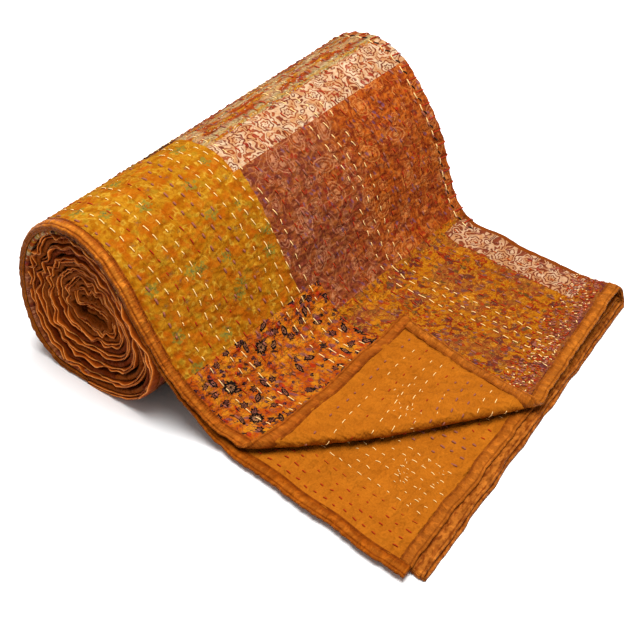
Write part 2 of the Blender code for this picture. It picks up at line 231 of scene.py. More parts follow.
def place(kind, share, y, v):
    """(x, drop, lean) of a column's middle. A column is a ply at u, or a fold at an angle."""
    if kind in FOLDS:
        upper, lower, far, back = FOLDS[kind]
        r = fold_radius(kind)
        a, b = drop_of(PLY_INDEX[upper], v), drop_of(PLY_INDEX[lower], v)
        middle, half = (a + b) / 2, (b - a) / 2
        if far:
            pull = scallop(y, v) if kind == "outer" else 0.0
            centre = far_x(y) - back - CLOTH_T / 2 - r + pull
            return centre + r * math.sin(share), middle - half * math.cos(share), (math.sin(share), math.cos(share))
        centre = near_x("A2", y) + CLOTH_T / 2 + r
        return centre - r * math.sin(share), middle - half * math.cos(share), (-math.sin(share), math.cos(share))
    turn, near = {"A1": ("outer", False), "A2": ("outer", True), "B2": ("inner", True), "B1": ("inner", False)}[kind]
    pull = scallop(y, v) if turn == "outer" else 0.0
    high = far_x(y) - FOLDS[turn][3] - CLOTH_T / 2 - fold_radius(turn) + pull
    low = near_x("A2", y) + CLOTH_T / 2 + fold_radius("near") if near else near_x(kind, y)
    t = (share - U_NEAR) / (U_FAR - U_NEAR)
    return low + (high - low) * t, drop_of(PLY_INDEX[kind], v), None


def far_lift(kind, share, x, y):
    """The top ply and its fold stand up a little at the loose end's far corner, and the plies below lie down."""
    if kind == "A1":
        part = 1.0
    elif kind == "outer":
        part = (0.5 + 0.5 * math.cos(share)) ** 1.5
    else:
        return 0.0
    space = y - end_y("A1", x)
    return part * smooth((-0.150 - y) / 0.03) * (0.0072 * smooth(1 - space / 0.058) * smooth((x - 0.200) / 0.165) ** 1.3 + 0.0008 * smooth(1 - space / 0.05))


def near_curl(kind, x, y, v):
    """The near edges of the two upper plies part a little on the ramp."""
    if kind not in ("A1", "B1"):
        return 0.0
    inside = np.maximum(x - near_x(kind, y), 0.0)
    part = smooth((v - 0.070) / 0.05) * smooth((0.300 - v) / 0.06)
    return (0.0017 if kind == "A1" else -0.0009) * np.exp(-inside / 0.009) * part


ALONG = (CREASE_TO - CREASE_FROM) / np.linalg.norm(CREASE_TO - CREASE_FROM)
BEYOND = np.array((ALONG[1], -ALONG[0]))
if BEYOND[0] > 0:
    BEYOND = -BEYOND
CREASE_START = CREASE_FROM - BEYOND * (BEND_R + CLOTH_T / 2)
CREASE_LEN = np.linalg.norm(CREASE_TO - CREASE_FROM)


def turn_back(x, y, z, ny, nz, h):
    """The top ply's corner, turned back over the crease. (x, y, z) is the ply's middle and h is above it."""
    px, py = x - CREASE_START[0], y - CREASE_START[1]
    d0 = px * BEYOND[0] + py * BEYOND[1]
    s = px * ALONG[0] + py * ALONG[1]
    t = np.clip(s / CREASE_LEN, 0.0, 1.0)
    shift = CREASE_BOW * np.sin(math.pi * t**0.8)
    d = d0 - shift
    turned = np.clip(d / BEND_R, 0.0, math.pi)
    rest = np.maximum(d - math.pi * BEND_R, 0.0)
    near = np.exp(-rest / CREASE_BOW_SPREAD)
    reach = (BEND_R - h) * np.sin(turned) - rest + shift * (2 * near - 1)
    height = BEND_R - (BEND_R - h) * np.cos(turned) - (2 * BEND_R - CLOTH_T - FLAP_REST) * smooth(rest / FLAP_SETTLE)
    height = height + CREASE_LIFT * np.exp(-((rest / CREASE_SPREAD) ** 2))
    height = height + 0.0011 * (waves(x, y, 0.055, 31) + 0.35) * smooth(rest / 0.02)
    folded = (d > 0) & (y < -0.12)
    lift = CREASE_LIFT * np.exp(-((np.minimum(d, 0.0) / CREASE_SPREAD) ** 2)) * smooth((-0.1 - y) / 0.05)
    move = np.where(folded, reach - d0, 0.0)
    flat_z = PACK_T - CLOTH_T / 2
    return (
        x + BEYOND[0] * move,
        np.where(folded, y + BEYOND[1] * move, y + ny * h),
        np.where(folded, flat_z + height, z + nz * h + lift),
    )


def pack_points(kind, share, v, t, h, inset=BIND_W, fixed=None):
    """Points of one column of the outer turn and loose end, at rows v, or at shares t of the flat part where t isn't nan.
    fixed is a distance in from the ply's near edge that takes the place of the share."""
    flat = ~np.isnan(t)
    tt = np.where(flat, t, 0.0)
    x = np.full(v.shape, share if kind not in FOLDS else (0.37 if FOLDS[kind][2] else 0.01))
    if fixed is not None:
        x = np.full(v.shape, 0.01 + fixed)
    upper, lower, part = kind, kind, 0.0
    if kind in FOLDS:
        upper, lower = FOLDS[kind][:2]
        part = share / math.pi
    vv = v
    for _ in range(6):
        y_start = look(PATH_Y, x, V_FLAT)
        end = mix(end_y(upper, x), end_y(lower, x), part) + inset
        y = np.where(flat, mix(y_start, end, tt), look(PATH_Y, x, np.where(flat, V_FLAT, v)))
        vv = np.where(flat, V_FLAT + (y_start - y), v)
        if fixed is not None:
            x, drop, lean = near_x(kind, y) + fixed, drop_of(PLY_INDEX[kind], vv), None
        else:
            x, drop, lean = place(kind, share, y, vv)
    z = look(PATH_Z, x, vv)
    ny, nz = look(PATH_NY, x, vv), look(PATH_NZ, x, vv)
    # The rolled edge is drawn in a little at the roll's two rims.
    rim = 0.0016 * (np.exp(-np.maximum(x - 0.001, 0) / 0.0042) + np.exp(-np.maximum(0.3795 - x, 0) / 0.0042)) * smooth((0.12 - vv) / 0.05)
    dip = drop + rim - far_lift(kind, share, x, y) - near_curl(kind, x, y, vv)
    my, mz = y - ny * dip, z - nz * dip
    if lean is None:
        side = SIDE[kind]
        if kind == "A1":
            px, py, pz = turn_back(x, my, mz, ny, nz, h * side)
        else:
            px, py, pz = x + 0 * my, my + ny * h * side, mz + nz * h * side
    else:
        sign = -1.0 if kind == "inner" else 1.0
        px, py, pz = x + lean[0] * h * sign, my + ny * lean[1] * h * sign, mz + nz * lean[1] * h * sign
    return np.stack([px, py, np.maximum(pz, 0.0002)], -1), vv


def drift(v):
    """How far the stitch rows slide across the strip as it comes off the roll."""
    return 0.0118 * smooth((v - 0.010) / 0.090)


SEAMS = (
    # along the strip: (u, from v, to v); across it: (v, from u, to u)
    ("u", 0.1615, 0.031, 0.180),
    ("u", 0.1865, 0.150, 0.400),
    ("u", 0.3415, 0.186, 0.324),
    ("u", 0.1550, -0.300, 0.031),
    ("v", -0.0020, 0.155, 0.380),
    ("v", 0.0310, 0.155, 0.380),
    ("v", 0.1500, 0.000, 0.1865),
    ("v", 0.1800, 0.1865, 0.380),
    ("v", 0.1860, 0.3415, 0.380),
    ("v", 0.3240, 0.3415, 0.380),
)


def seam_dip(u, v):
    """Shallow troughs where the patches meet, and the turned edge's small ridge beside them."""
    dip = 0.0
    for way, at, low, high in SEAMS:
        across, along = (u, v) if way == "u" else (v, u)
        inside = smooth((along - low + 0.002) / 0.002) * smooth((high - along + 0.002) / 0.002)
        off = across - at
        dip = dip + inside * (-0.00055 * np.exp(-((off / 0.0013) ** 2)) + 0.00030 * np.exp(-(((off - 0.0040) / 0.0022) ** 2)))
    return dip


def pucker(u, v, strength=1.0):
    """Height of the quilted cloth's front: rows pulled down by the stitches, ripples between them."""
    q = (u - drift(v) - ROW_FIRST) / ROW_PITCH
    row = np.round(q)
    f = (q - row) * ROW_PITCH
    valley = np.exp(-((f / 0.0031) ** 2))
    dash = 0.5 + 0.5 * np.cos(2 * math.pi * (v / 0.0110 + 0.37 * row))
    ripple = np.sin(2 * math.pi * v / 0.0108 + 2.3 * row + 1.5 * waves(u, v, 0.05, 3)) * (1 - valley)
    strength = strength * (0.38 + 0.62 * smooth((v + 0.045) / 0.06))
    return strength * seam_dip(u, v) + strength * (
        -0.00064 * valley * (0.45 + 0.55 * dash) + 0.00036 * ripple + 0.00036 * waves(u, v, 0.015, 5) + 0.00055 * waves(u, v, 0.046, 6)
    )


# ---------------------------------------------------------------- mesh building
def make_object(name, points, faces, uv=None, material_of=None, smooth_faces=True, uv_of_loops=None):
    mesh = bpy.data.meshes.new(name)
    points = np.asarray(points, float) - ORIGIN
    faces = np.asarray(faces, np.int32)
    size = faces.shape[1]
    mesh.vertices.add(len(points))
    mesh.vertices.foreach_set("co", points.astype(np.float32).ravel())
    mesh.loops.add(faces.size)
    mesh.loops.foreach_set("vertex_index", faces.ravel())
    mesh.polygons.add(len(faces))
    mesh.polygons.foreach_set("loop_start", np.arange(0, faces.size, size, dtype=np.int32))
    mesh.polygons.foreach_set("loop_total", np.full(len(faces), size, np.int32))
    if material_of is not None:
        mesh.polygons.foreach_set("material_index", np.asarray(material_of, np.int32))
    mesh.polygons.foreach_set("use_smooth", np.full(len(faces), smooth_faces))
    if uv is not None or uv_of_loops is not None:
        layer = mesh.uv_layers.new(name="cloth")
        values = uv_of_loops if uv_of_loops is not None else np.asarray(uv, float)[faces.ravel()]
        layer.data.foreach_set("uv", values.astype(np.float32).ravel())
    mesh.update()
    mesh.validate()
    made = bpy.data.objects.new(name, mesh)
    bpy.context.scene.collection.objects.link(made)
    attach(made, "root")
    return made


def thick_sheet(name, front, back, uv, front_material, back_material, edge_material=None):
    """A closed thin body from two grids of points. front_material has one number a face of the grid."""
    rows, cols = front.shape[:2]
    n = rows * cols
    index = np.arange(n).reshape(rows, cols)
    a, b, c, d = index[:-1, :-1], index[1:, :-1], index[1:, 1:], index[:-1, 1:]
    top = np.stack([a, b, c, d], -1).reshape(-1, 4)
    bottom = np.stack([a, d, c, b], -1).reshape(-1, 4) + n
    rims = []
    for line, flip in ((index[0], False), (index[-1], True), (index[:, 0], True), (index[:, -1], False)):
        p, q = line[:-1], line[1:]
        quad = np.stack([p, q, q + n, p + n], -1)
        rims.append(quad[:, ::-1] if flip else quad)
    rim = np.concatenate(rims)
    faces = np.concatenate([top, bottom, rim])
    rim_material = np.full(len(rim), int(back_material.ravel()[0]) if edge_material is None else edge_material)
    material_of = np.concatenate([front_material.ravel(), back_material.ravel(), rim_material])
    points = np.concatenate([front.reshape(-1, 3), back.reshape(-1, 3)])
    both = np.concatenate([uv.reshape(-1, 2), uv.reshape(-1, 2)])
    return make_object(name, points, faces, both, material_of)


def closed_strip(name, rings, uv):
    """A closed tube of rings (rows, around, 3), with its two ends closed by fans of quads."""
    rows, around = rings.shape[:2]
    index = np.arange(rows * around).reshape(rows, around)
    nxt = np.roll(index, -1, axis=1)
    side = np.stack([index[:-1], nxt[:-1], nxt[1:], index[1:]], -1).reshape(-1, 4)
    caps = []
    half = around // 2
    for ring, flip in ((index[0], False), (index[-1], True)):
        for i in range(half - 1):
            quad = [ring[i], ring[i + 1], ring[around - 2 - i], ring[around - 1 - i]]
            caps.append(quad if flip else quad[::-1])
    return rings.reshape(-1, 3), np.concatenate([side, np.array(caps)]), uv.reshape(-1, 2)


def join(parts):
    points, faces, uvs, count = [], [], [], 0
    for p, f, t in parts:
        points.append(p)
        faces.append(f + count)
        uvs.append(t)
        count += len(p)
    return np.concatenate(points), np.concatenate(faces), np.concatenate(uvs)


# ---------------------------------------------------------------- the patchwork's layout
PATCHES = ("leaf", "flower", "swirl", "mottle", "brocade", "stripe", "dark", "plain", "red")
LAYOUT = (
    # name, u from, u to, v from, v to, on the outer turn and the loose end
    ("swirl", 0.000, 0.115, -0.300, -0.165),
    ("flower", 0.115, 0.265, -0.300, -0.185),
    ("leaf", 0.265, 0.400, -0.300, -0.150),
    ("mottle", 0.000, 0.155, -0.165, -0.092),
    ("brocade", 0.155, 0.265, -0.185, -0.150),
    ("swirl", 0.155, 0.265, -0.150, -0.052),
    ("dark", 0.265, 0.400, -0.150, -0.052),
    ("leaf", 0.000, 0.1615, -0.092, 0.150),
    ("dark", 0.119, 0.155, -0.092, -0.037),
    ("stripe", 0.155, 0.400, -0.052, -0.002),
    ("brocade", 0.155, 0.400, -0.002, 0.031),
    ("swirl", 0.1615, 0.400, 0.031, 0.180),
    ("flower", 0.000, 0.1865, 0.150, 0.600),
    ("mottle", 0.1865, 0.400, 0.180, 0.600),
    ("brocade", 0.3415, 0.3728, 0.186, 0.324),
    # Dark plain cloth over the far fold: painted shade on the side where the fold turns away.
    ("plain", 0.3728, 0.400, 0.180, 0.600),
)
U_SEAMS = (0.1155, 0.119, 0.155, 0.1615, 0.1865, 0.265, 0.3415)
V_SEAMS = (-0.185, -0.165, -0.150, -0.092, -0.052, -0.037, -0.002, 0.031, 0.150, 0.180, 0.186)


def patch_at(u, v):
    found = np.full(np.broadcast(u, v).shape, PATCHES.index("leaf"))
    for name, u0, u1, v0, v1 in LAYOUT:
        inside = (u >= u0) & (u < u1) & (v >= v0) & (v < v1)
        found = np.where(inside, PATCHES.index(name), found)
    return found


def spaced(low, high, step, seams):
    """Places from low to high about a step apart, with one on each seam."""
    marks = [low] + [s for s in sorted(seams) if low + step * 0.4 < s < high - step * 0.4] + [high]
    found = [low]
    for a, b in zip(marks, marks[1:]):
        count = max(1, int(round((b - a) / step)))
        found += [a + (b - a) * (i + 1) / count for i in range(count)]
    return np.array(found)


def with_flat(rows_v, shares):
    v = np.concatenate([rows_v, np.full(len(shares), V_FLAT)])
    t = np.concatenate([np.full(len(rows_v), np.nan), shares])
    return v, t


# ---------------------------------------------------------------- the top ply and its far fold
def build_face():
    us = spaced(0.0125, U_FAR, 0.0025, U_SEAMS)
    arc = [math.pi * (i + 0.5) / 9 for i in range(9)] + [math.pi]
    rows_v = np.concatenate([spaced(V_START, -0.055, 0.0040, V_SEAMS), spaced(-0.055, V_FLAT, 0.0022, V_SEAMS)[1:]])
    v, t = with_flat(rows_v, np.linspace(0, 1, 73)[1:])
    kinds = [("A1", u) for u in us] + [("outer", a) for a in arc]
    half = 0.00105
    front, back, uv = [], [], []
    for kind, share in kinds:
        middle, vv = pack_points(kind, share, v, t, np.zeros(len(v)))
        u = share if kind == "A1" else U_FAR + 0.0039 * share
        up = pucker(np.full(len(v), u), vv, 1.0 if kind == "A1" else 0.5)
        down = 1.0 * up + 0.00016 * waves(np.full(len(v), u), vv, 0.012, 9)
        front.append(pack_points(kind, share, v, t, half + up)[0])
        back.append(pack_points(kind, share, v, t, -half + down)[0])
        uv.append(np.stack([np.full(len(v), u), vv], -1))
    front, back, uv = (np.stack(a, 1) for a in (front, back, uv))
    at = (uv[:-1, :-1] + uv[1:, 1:]) / 2
    return front, back, uv, patch_at(at[..., 0], at[..., 1])


def build_under():
    """The other three plies of the outer turn and the loose end, with their folds."""
    a2 = list(np.concatenate([np.linspace(U_NEAR, 0.05, 6), np.linspace(0.09, 0.33, 6), np.linspace(0.35, U_FAR, 5)]))[::-1]
    b2 = a2[::-1]
    b1 = list(spaced(0.0125, 0.235, 0.0026, ())) + list(spaced(0.235, U_FAR, 0.014, ()))[1:]
    kinds = [("A2", u) for u in a2]
    kinds += [("near", math.pi - math.pi * (i + 1) / 8) for i in range(7)]
    kinds += [("B2", u) for u in b2] + [("inner", math.pi - math.pi * (i + 1) / 6) for i in range(5)] + [("B1", u) for u in b1[::-1]]
    rows_v = np.concatenate([spaced(V_START, 0.10, 0.0060, ()), spaced(0.10, V_FLAT, 0.0034, ())[1:]])
    v, t = with_flat(rows_v, np.linspace(0, 1, 58)[1:])
    half = 0.00098
    front, back, uv = [], [], []
    for kind, share in kinds:
        middle, vv = pack_points(kind, share, v, t, np.zeros(len(v)))
        if kind in FOLDS:
            u = {"near": 0.0, "inner": U_FAR + 0.004}[kind] + 0.0013 * share
        else:
            u = share
        n = np.full(len(v), u)
        # B1's back is the one that shows, where the top ply is turned back.
        shows = smooth((vv - 0.21) / 0.03) if kind == "B1" else 0.0
        low = -0.00055 * shows * (pucker(n, vv + 0.3) / 0.0005) + 0.00015 * waves(n, vv, 0.03, 12)
        front.append(pack_points(kind, share, v, t, np.full(len(v), half))[0])
        back.append(pack_points(kind, share, v, t, -half + np.clip(low, -0.0013, 0.0009))[0])
        uv.append(np.stack([n, vv], -1))
    return tuple(np.stack(a, 1) for a in (front, back, uv))


# ---------------------------------------------------------------- the turns inside the roll
def turn_radius(phi, x):
    """The outer face of the rolled strip at an angle along its winding, in degrees from where it leaves the roll."""
    along = x / STRIP_W
    theta = np.radians(LEAVES_DEG + phi)
    r0 = ROLL_R * mix(1.0, ROLL_FAR_SCALE, along)
    part = np.mod(phi, 360.0)
    step = -PITCH * part / 360 * (1 - smooth((part - 310) / 45))
    depth = PITCH * phi / 360 + step * 0.75 ** np.maximum(0, (phi - 310) / 360)
    deep = np.clip(depth / (ROLL_R - CORE_R), 0, 1)
    wobble = 0.0012 * np.sin(2 * theta + 1.3 * phi / 360) * deep
    return r0 * (1 + shape(theta) * (1 - 0.8 * deep)) - depth - 0.0052 * deep**1.5 * np.cos(2 * theta) + wobble


PHI_IN = 241.0
PHI_TOP = 360.0 * 6 + 61.0


def winding(step):
    """The middle line of the rolled pack: angle, (y, z) at x = 0, outward normal, thickness."""
    phi = np.arange(PHI_IN, PHI_TOP + 0.01, 0.5)
    theta = np.radians(LEAVES_DEG + phi)
    r = turn_radius(phi, 0.0)
    inner = turn_radius(phi + 360.0, 0.0)
    thick = np.clip(r - inner, 0.0070, 0.0094)
    thick = mix(0.0094, thick, smooth((phi - 300) / 60))
    centre_z = ROLL_R * (1 + shape(math.pi)) - ROLL_SETTLE
    rm = r - thick / 2
    y, z = rm * np.sin(theta) + ROLL_NEAR_Y, rm * np.cos(theta) + centre_z
    # The inner end goes back over itself through the middle of the roll.
    y1, z1 = y[-1], z[-1]
    bend = 0.0050
    yb = y1 + 0.0120
    tail = [(y1 + 0.0120 * s, z1 - 0.0012 * s * s) for s in np.linspace(0.1, 1, 8)]
    z1 = tail[-1][1]
    tail += [(yb + bend * math.sin(a), z1 - bend + bend * math.cos(a)) for a in np.linspace(0.2, math.pi, 14)]
    tail += [(yb - 0.0300 * s, z1 - 2 * bend + 0.0030 * math.sin(2.6 * s)) for s in np.linspace(0.08, 1, 14)]
    ye, ze = tail[-1]
    small = 0.0044
    tail += [(ye - small * math.sin(a), ze - small + small * math.cos(a)) for a in np.linspace(0.25, math.pi, 12)]
    tail += [(ye + 0.0270 * s, ze - 2 * small + 0.0012 * math.sin(3.0 * s)) for s in np.linspace(0.08, 1, 14)]
    ty, tz = np.array(tail).T
    y, z = np.concatenate([y, ty]), np.concatenate([z, tz])
    thick = np.concatenate([thick, np.full(len(ty), 0.0088)])
    phi_all = np.concatenate([phi, phi[-1] + np.arange(1, len(ty) + 1) * 6.0])
    s = np.concatenate([[0.0], np.cumsum(np.hypot(np.diff(y), np.diff(z)))])
    grid = np.linspace(0, s[-1], int(s[-1] / step) + 1)
    y, z, thick, phi_all = (np.interp(grid, s, a) for a in (y, z, thick, phi_all))
    dy, dz = np.gradient(y), np.gradient(z)
    for _ in range(max(1, int(0.004 / step))):
        dy[1:-1] = (dy[:-2] + 2 * dy[1:-1] + dy[2:]) / 4
        dz[1:-1] = (dz[:-2] + 2 * dz[1:-1] + dz[2:]) / 4
    size = np.hypot(dy, dz)
    # Going inwards along the strip the outer face is on the left: from the top it runs towards +y, so outwards is (-dz, dy).
    return grid, phi_all, y, z, -dz / size, dy / size, thick


def telescope(phi, far):
    """How far a turn's edge is drawn in from the roll's end."""
    turns = (phi - PHI_IN) / 360
    seed = 2.0 if far else 0.0
    start = smooth((phi - PHI_IN) / 120)
    return start * (0.0022 * turns + 0.0012 * np.sin(phi / 57.3 * 1.0 + seed) + 0.0007 * np.sin(phi / 57.3 * 2.7 + 1 + seed) + 0.0006)


def crinkle(phi, s, y, z, from_face, depth_in):
    """The rolled edges buckle where the cloth is squeezed: none on the roll's front, most at its back and core."""
    theta = np.radians(LEAVES_DEG + phi)
    r = np.hypot(y - ROLL_NEAR_Y, z - 0.0722)
    front = 0.5 + 0.5 * np.cos(theta + math.radians(98))
    calm = mix(1.0, 0.12, smooth(front * 1.9 - 0.55) * smooth((r - 0.022) / 0.02))
    patchy = 0.55 + 0.75 * smooth(0.5 + 0.6 * np.sin(theta * 3 + 0.8 + r * 70) + 0.5 * np.sin(theta * 5 + 2.0 - r * 110))
    outer = smooth((0.077 - r) / 0.016)
    wide = smooth((r - 0.030) / 0.016)
    a = np.sin(theta * 17 + 1.4 * np.sin(theta * 5) + r * 60)
    b = np.sin(theta * 10 + 1.2 * np.sin(theta * 3 + 1) + r * 95)
    c = np.sin(theta * 29 + 2 * np.sin(theta * 7) - r * 130)
    sharp = np.arcsin(np.clip(mix(b, a, wide), -0.98, 0.98)) / 1.4
    amount = (0.00320 * sharp * patchy + 0.00065 * c + 0.00090 * np.sin(theta * 5 + r * 200)) * calm * mix(0.20, 1.0, outer)
    return amount * np.exp(-np.maximum(from_face, 0) / 0.0085) * smooth((phi - PHI_IN) / 60)


def core_wave(y):
    """Ripples of the folds in the middle of the roll, the same in each of them."""
    return 0.0013 * np.arcsin(0.97 * np.sin(y * 640 + 1.0)) / 1.3 + 0.0005 * np.sin(y * 1500 + 0.4)


def turn_points(line, index, x, h, far_end):
    """Points at a depth index (0 to 3, in plies) inside the rolled pack, at places x across it, h further out."""
    s, phi, y, z, ny, nz, thick = line
    along = np.clip(x, 0, STRIP_W) / STRIP_W
    tele_near, tele_far = telescope(phi, False), telescope(phi, True)
    from_near = x - tele_near
    from_far = STRIP_W - tele_far - x
    off = (1.5 - index) * thick / 4
    kink = crinkle(phi, s, y, z, np.minimum(from_near, from_far), 0)
    middle = smooth((phi - PHI_TOP - 12) / 30)
    kink = mix(kink, core_wave(y) * nz * np.exp(-np.maximum(np.minimum(from_near, from_far), 0) / 0.0085), middle)
    rim = 0.0016 * (np.exp(-np.maximum(x - 0.001, 0) / 0.0042) + np.exp(-np.maximum(0.3795 - x, 0) / 0.0042)) * smooth((600 - phi) / 100)
    grow = mix(1.0, ROLL_FAR_SCALE, along)
    total = off + h + kink - rim
    py = (y - ROLL_NEAR_Y) * grow + mix(ROLL_NEAR_Y, ROLL_FAR_Y, along) + ny * total
    pz = z * grow + nz * total
    return np.stack([x + 0 * py, py, np.maximum(pz, 0.0002)], -1)


TURN_NEAR = {"A1": 0.0020, "B1": 0.0036, "A2": 0.0050}
OUTER_NEAR = {"A1": 0.0020, "B1": 0.0022, "A2": 0.0034}
TURN_FAR = {"outer": 0.3793, "inner": 0.3750}


def turn_near(ply, phi):
    """The near edge of a ply inside the roll, going on from the outer turn's."""
    flush = 0.0030 * smooth((phi - 1750) / 250) if ply == "A2" else 0.0
    return mix(OUTER_NEAR[ply], TURN_NEAR[ply], smooth((phi - PHI_IN) / 90)) - TURN_NEAR[ply] - flush


def build_turns(line):
    s, phi = line[0], line[1]
    tn, tf = telescope(phi, False), telescope(phi, True)
    near_in = (0.0, 0.0020, 0.0050, 0.010, 0.018, 0.032)
    far_in = (0.032, 0.016, 0.008, 0.003, 0.0)
    half = 0.00094
    r_outer, r_inner, r_near = 1.5 * PITCH / 4, 0.5 * PITCH / 4, 0.5 * PITCH / 4
    columns = []
    lo = {"A1": TURN_NEAR["A1"] + 0.0105, "B1": TURN_NEAR["B1"] + 0.0105}
    for ply, index, side in (("A1", 0, 1.0), ("A2", 3, -1.0), ("B2", 2, 1.0), ("B1", 1, -1.0)):
        turn = "outer" if ply in ("A1", "A2") else "inner"
        high = TURN_FAR[turn] - 0.001 - (r_outer if turn == "outer" else r_inner)
        if ply in lo:
            near = [("p", lo[ply] + d * 0.8, index, side, "n") for d in (0.0, 0.004, 0.011, 0.024)]
        else:
            near = [("p", TURN_NEAR["A2"] + 0.001 + r_near + d, index, side, "n") for d in near_in]
        mid = [("p", 0.10, index, side, "m"), ("p", 0.19, index, side, "m"), ("p", 0.28, index, side, "m")]
        far = [("p", high - d, index, side, "f") for d in far_in]
        cols = near + mid + far
        if ply == "A1":
            columns += cols + [("f", math.pi * (i + 1) / 7, "outer", None, "f") for i in range(6)]
        elif ply == "A2":
            columns += cols[::-1] + [("f", math.pi - math.pi * (i + 1) / 6, "near", None, "n") for i in range(5)]
        elif ply == "B2":
            columns += cols + [("f", math.pi - math.pi * (i + 1) / 5, "inner", None, "f") for i in range(4)]
        else:
            columns += cols[::-1]
    front, back, uv = [], [], []
    across = 0.0
    for kind, value, index, side, zone in columns:
        slide = tn + turn_near("A2", phi) if zone == "n" else (-tf if zone == "f" else 0.0 * tn)
        if kind == "p":
            x = value + slide
            front.append(turn_points(line, index, x, half * side, None))
            back.append(turn_points(line, index, x, -half * side, None))
        else:
            r = {"outer": r_outer, "inner": r_inner, "near": r_near}[index]
            mid_index = {"outer": 1.5, "inner": 1.5, "near": 2.5}[index]
            sx, cx = math.sin(value), math.cos(value)
            if index == "near":
                base = TURN_NEAR["A2"] + 0.001 + r
                xs = (base - (r + half) * sx + slide, base - (r - half) * sx + slide)
            else:
                base = TURN_FAR[index] - 0.001 - r
                xs = (base + (r + half) * sx + slide, base + (r - half) * sx + slide)
            outer = turn_points(line, mid_index, xs[0], (r + half) * cx, None)
            inner = turn_points(line, mid_index, xs[1], (r - half) * cx, None)
            # On the inner fold the backing is outside, and on the other two the patchwork is.
            if index == "inner":
                outer, inner = inner, outer
            front.append(outer)
            back.append(inner)
        if front[1:]:
            across += float(np.linalg.norm(front[-1][0] - front[-2][0]))
        uv.append(np.stack([np.full(len(s), across), 3.0 + s], -1))
    return (np.stack(a, 1) for a in (front, back, uv))


BAND = (
    # metres in from the edge, height above the ply's middle; the underside mirrors it
    (0.0120, 0.00085),
    (0.0119, 0.00140),
    (0.0112, 0.00158),
    (0.0104, 0.00112),
    (0.0096, 0.00150),
    (0.0078, 0.00196),
    (0.0058, 0.00214),
    (0.0042, 0.00198),
    (0.0031, 0.00150),
    (0.0024, 0.00128),
    (0.0014, 0.00150),
    (0.0006, 0.00118),
    (0.0001, 0.00055),
)
FLAT_BAND = (
    (0.0120, 0.00095),
    (0.0119, 0.00168),
    (0.0112, 0.00186),
    (0.0104, 0.00140),
    (0.0096, 0.00166),
    (0.0078, 0.00178),
    (0.0058, 0.00180),
    (0.0042, 0.00170),
    (0.0031, 0.00152),
    (0.0024, 0.00138),
    (0.0014, 0.00150),
    (0.0006, 0.00112),
    (0.0001, 0.00050),
)
THIN_BAND = ((0.0118, 0.0009), (0.0070, 0.00108), (0.0036, 0.00092), (0.0014, 0.00074), (0.0003, 0.00040))


def band_profile(profile):
    return [(d, h) for d, h in profile] + [(d, -h) for d, h in profile[::-1]]


def build_turn_bands(line):
    parts = []
    s, phi = line[0], line[1]
    tn = telescope(phi, False)
    for ply, index in (("A1", 0), ("B1", 1)):
        rings, uv = [], []
        for d, h in band_profile(THIN_BAND):
            flare = 0.0007 * waves(s, s * 0, 0.023, 41 + index) * math.exp(-d / 0.004)
            plump = 1.0 + 0.22 * waves(s, s * 0, 0.034, 61 + index)
            settled = smooth((phi - PHI_IN) / 60)
            sway = 0.0015 * waves(s, s * 0, 0.06, 51 + index) + 0.0011 * waves(s, s * 0, 0.017, 55 + index)
            x = TURN_NEAR[ply] + turn_near(ply, phi) + tn + d + sway * settled
            rings.append(turn_points(line, index, x, h * mix(1.15, 0.88 * plump, settled) + flare * settled, None))
            uv.append(np.stack([s, np.full(len(s), d if h > 0 else 0.03 - d)], -1))
        parts.append(closed_strip("", np.stack(rings, 1), np.stack(uv, 1)))
    return join(parts)


def build_edge_band(ply, v_from):
    """The band round a ply's near edge, on the outer turn and the loose end."""
    rows_v = spaced(v_from, V_FLAT, 0.0024, ())
    v, t = with_flat(rows_v, np.linspace(0, 1, 75)[1:])
    rings, uv = [], []
    for (d, h), (_, flat_h) in zip(band_profile(BAND), band_profile(FLAT_BAND)):
        _, vv = pack_points(ply, 0.01, v, t, np.zeros(len(v)), inset=0.0002, fixed=d)
        # Full on the roll's rim, flatter on the loose end and on the underside
        h = mix(h, flat_h, smooth((vv - 0.10) / 0.10)) if h > 0 else np.full(len(vv), flat_h)
        outward = d * 0 + (1 if h[0] > 0 else -1)
        lump = 0.00050 * waves(vv, np.full(len(v), d * 1.4), 0.010, 61) * math.sin(min(max((0.0103 - d) / 0.0103, 0), 1) * math.pi) if outward > 0 else 0.0
        lump = lump + 0.00022 * waves(vv, np.full(len(v), 0.0), 0.03, 62)
        rim = math.exp(-d / 0.0022)
        crimp = (0.00042 + 0.00024 * smooth((vv - 0.10) / 0.06)) * rim * waves(vv, np.full(len(v), 0.0), 0.0075, 64)
        lump = lump + 0.00045 * rim * waves(vv, np.full(len(v), 0.0), 0.0085, 65) * outward
        lean = d + 0.00045 * waves(vv, np.full(len(v), 0.0), 0.026, 63) * (1 if d < 0.002 else 0.5) + crimp
        sag = (h + lump * (1 if outward > 0 else 0.3)) * mix(0.56, 1.0, smooth((vv - V_START) / 0.06))
        # The ply's own side sign is undone here: h is always outwards.
        point, vv = pack_points(ply, 0.01, v, t, sag * SIDE[ply], inset=0.0002, fixed=lean)
        rings.append(point)
        uv.append(np.stack([vv, np.full(len(v), d if outward > 0 else 0.03 - d)], -1))
    return closed_strip("", np.stack(rings, 1), np.stack(uv, 1))


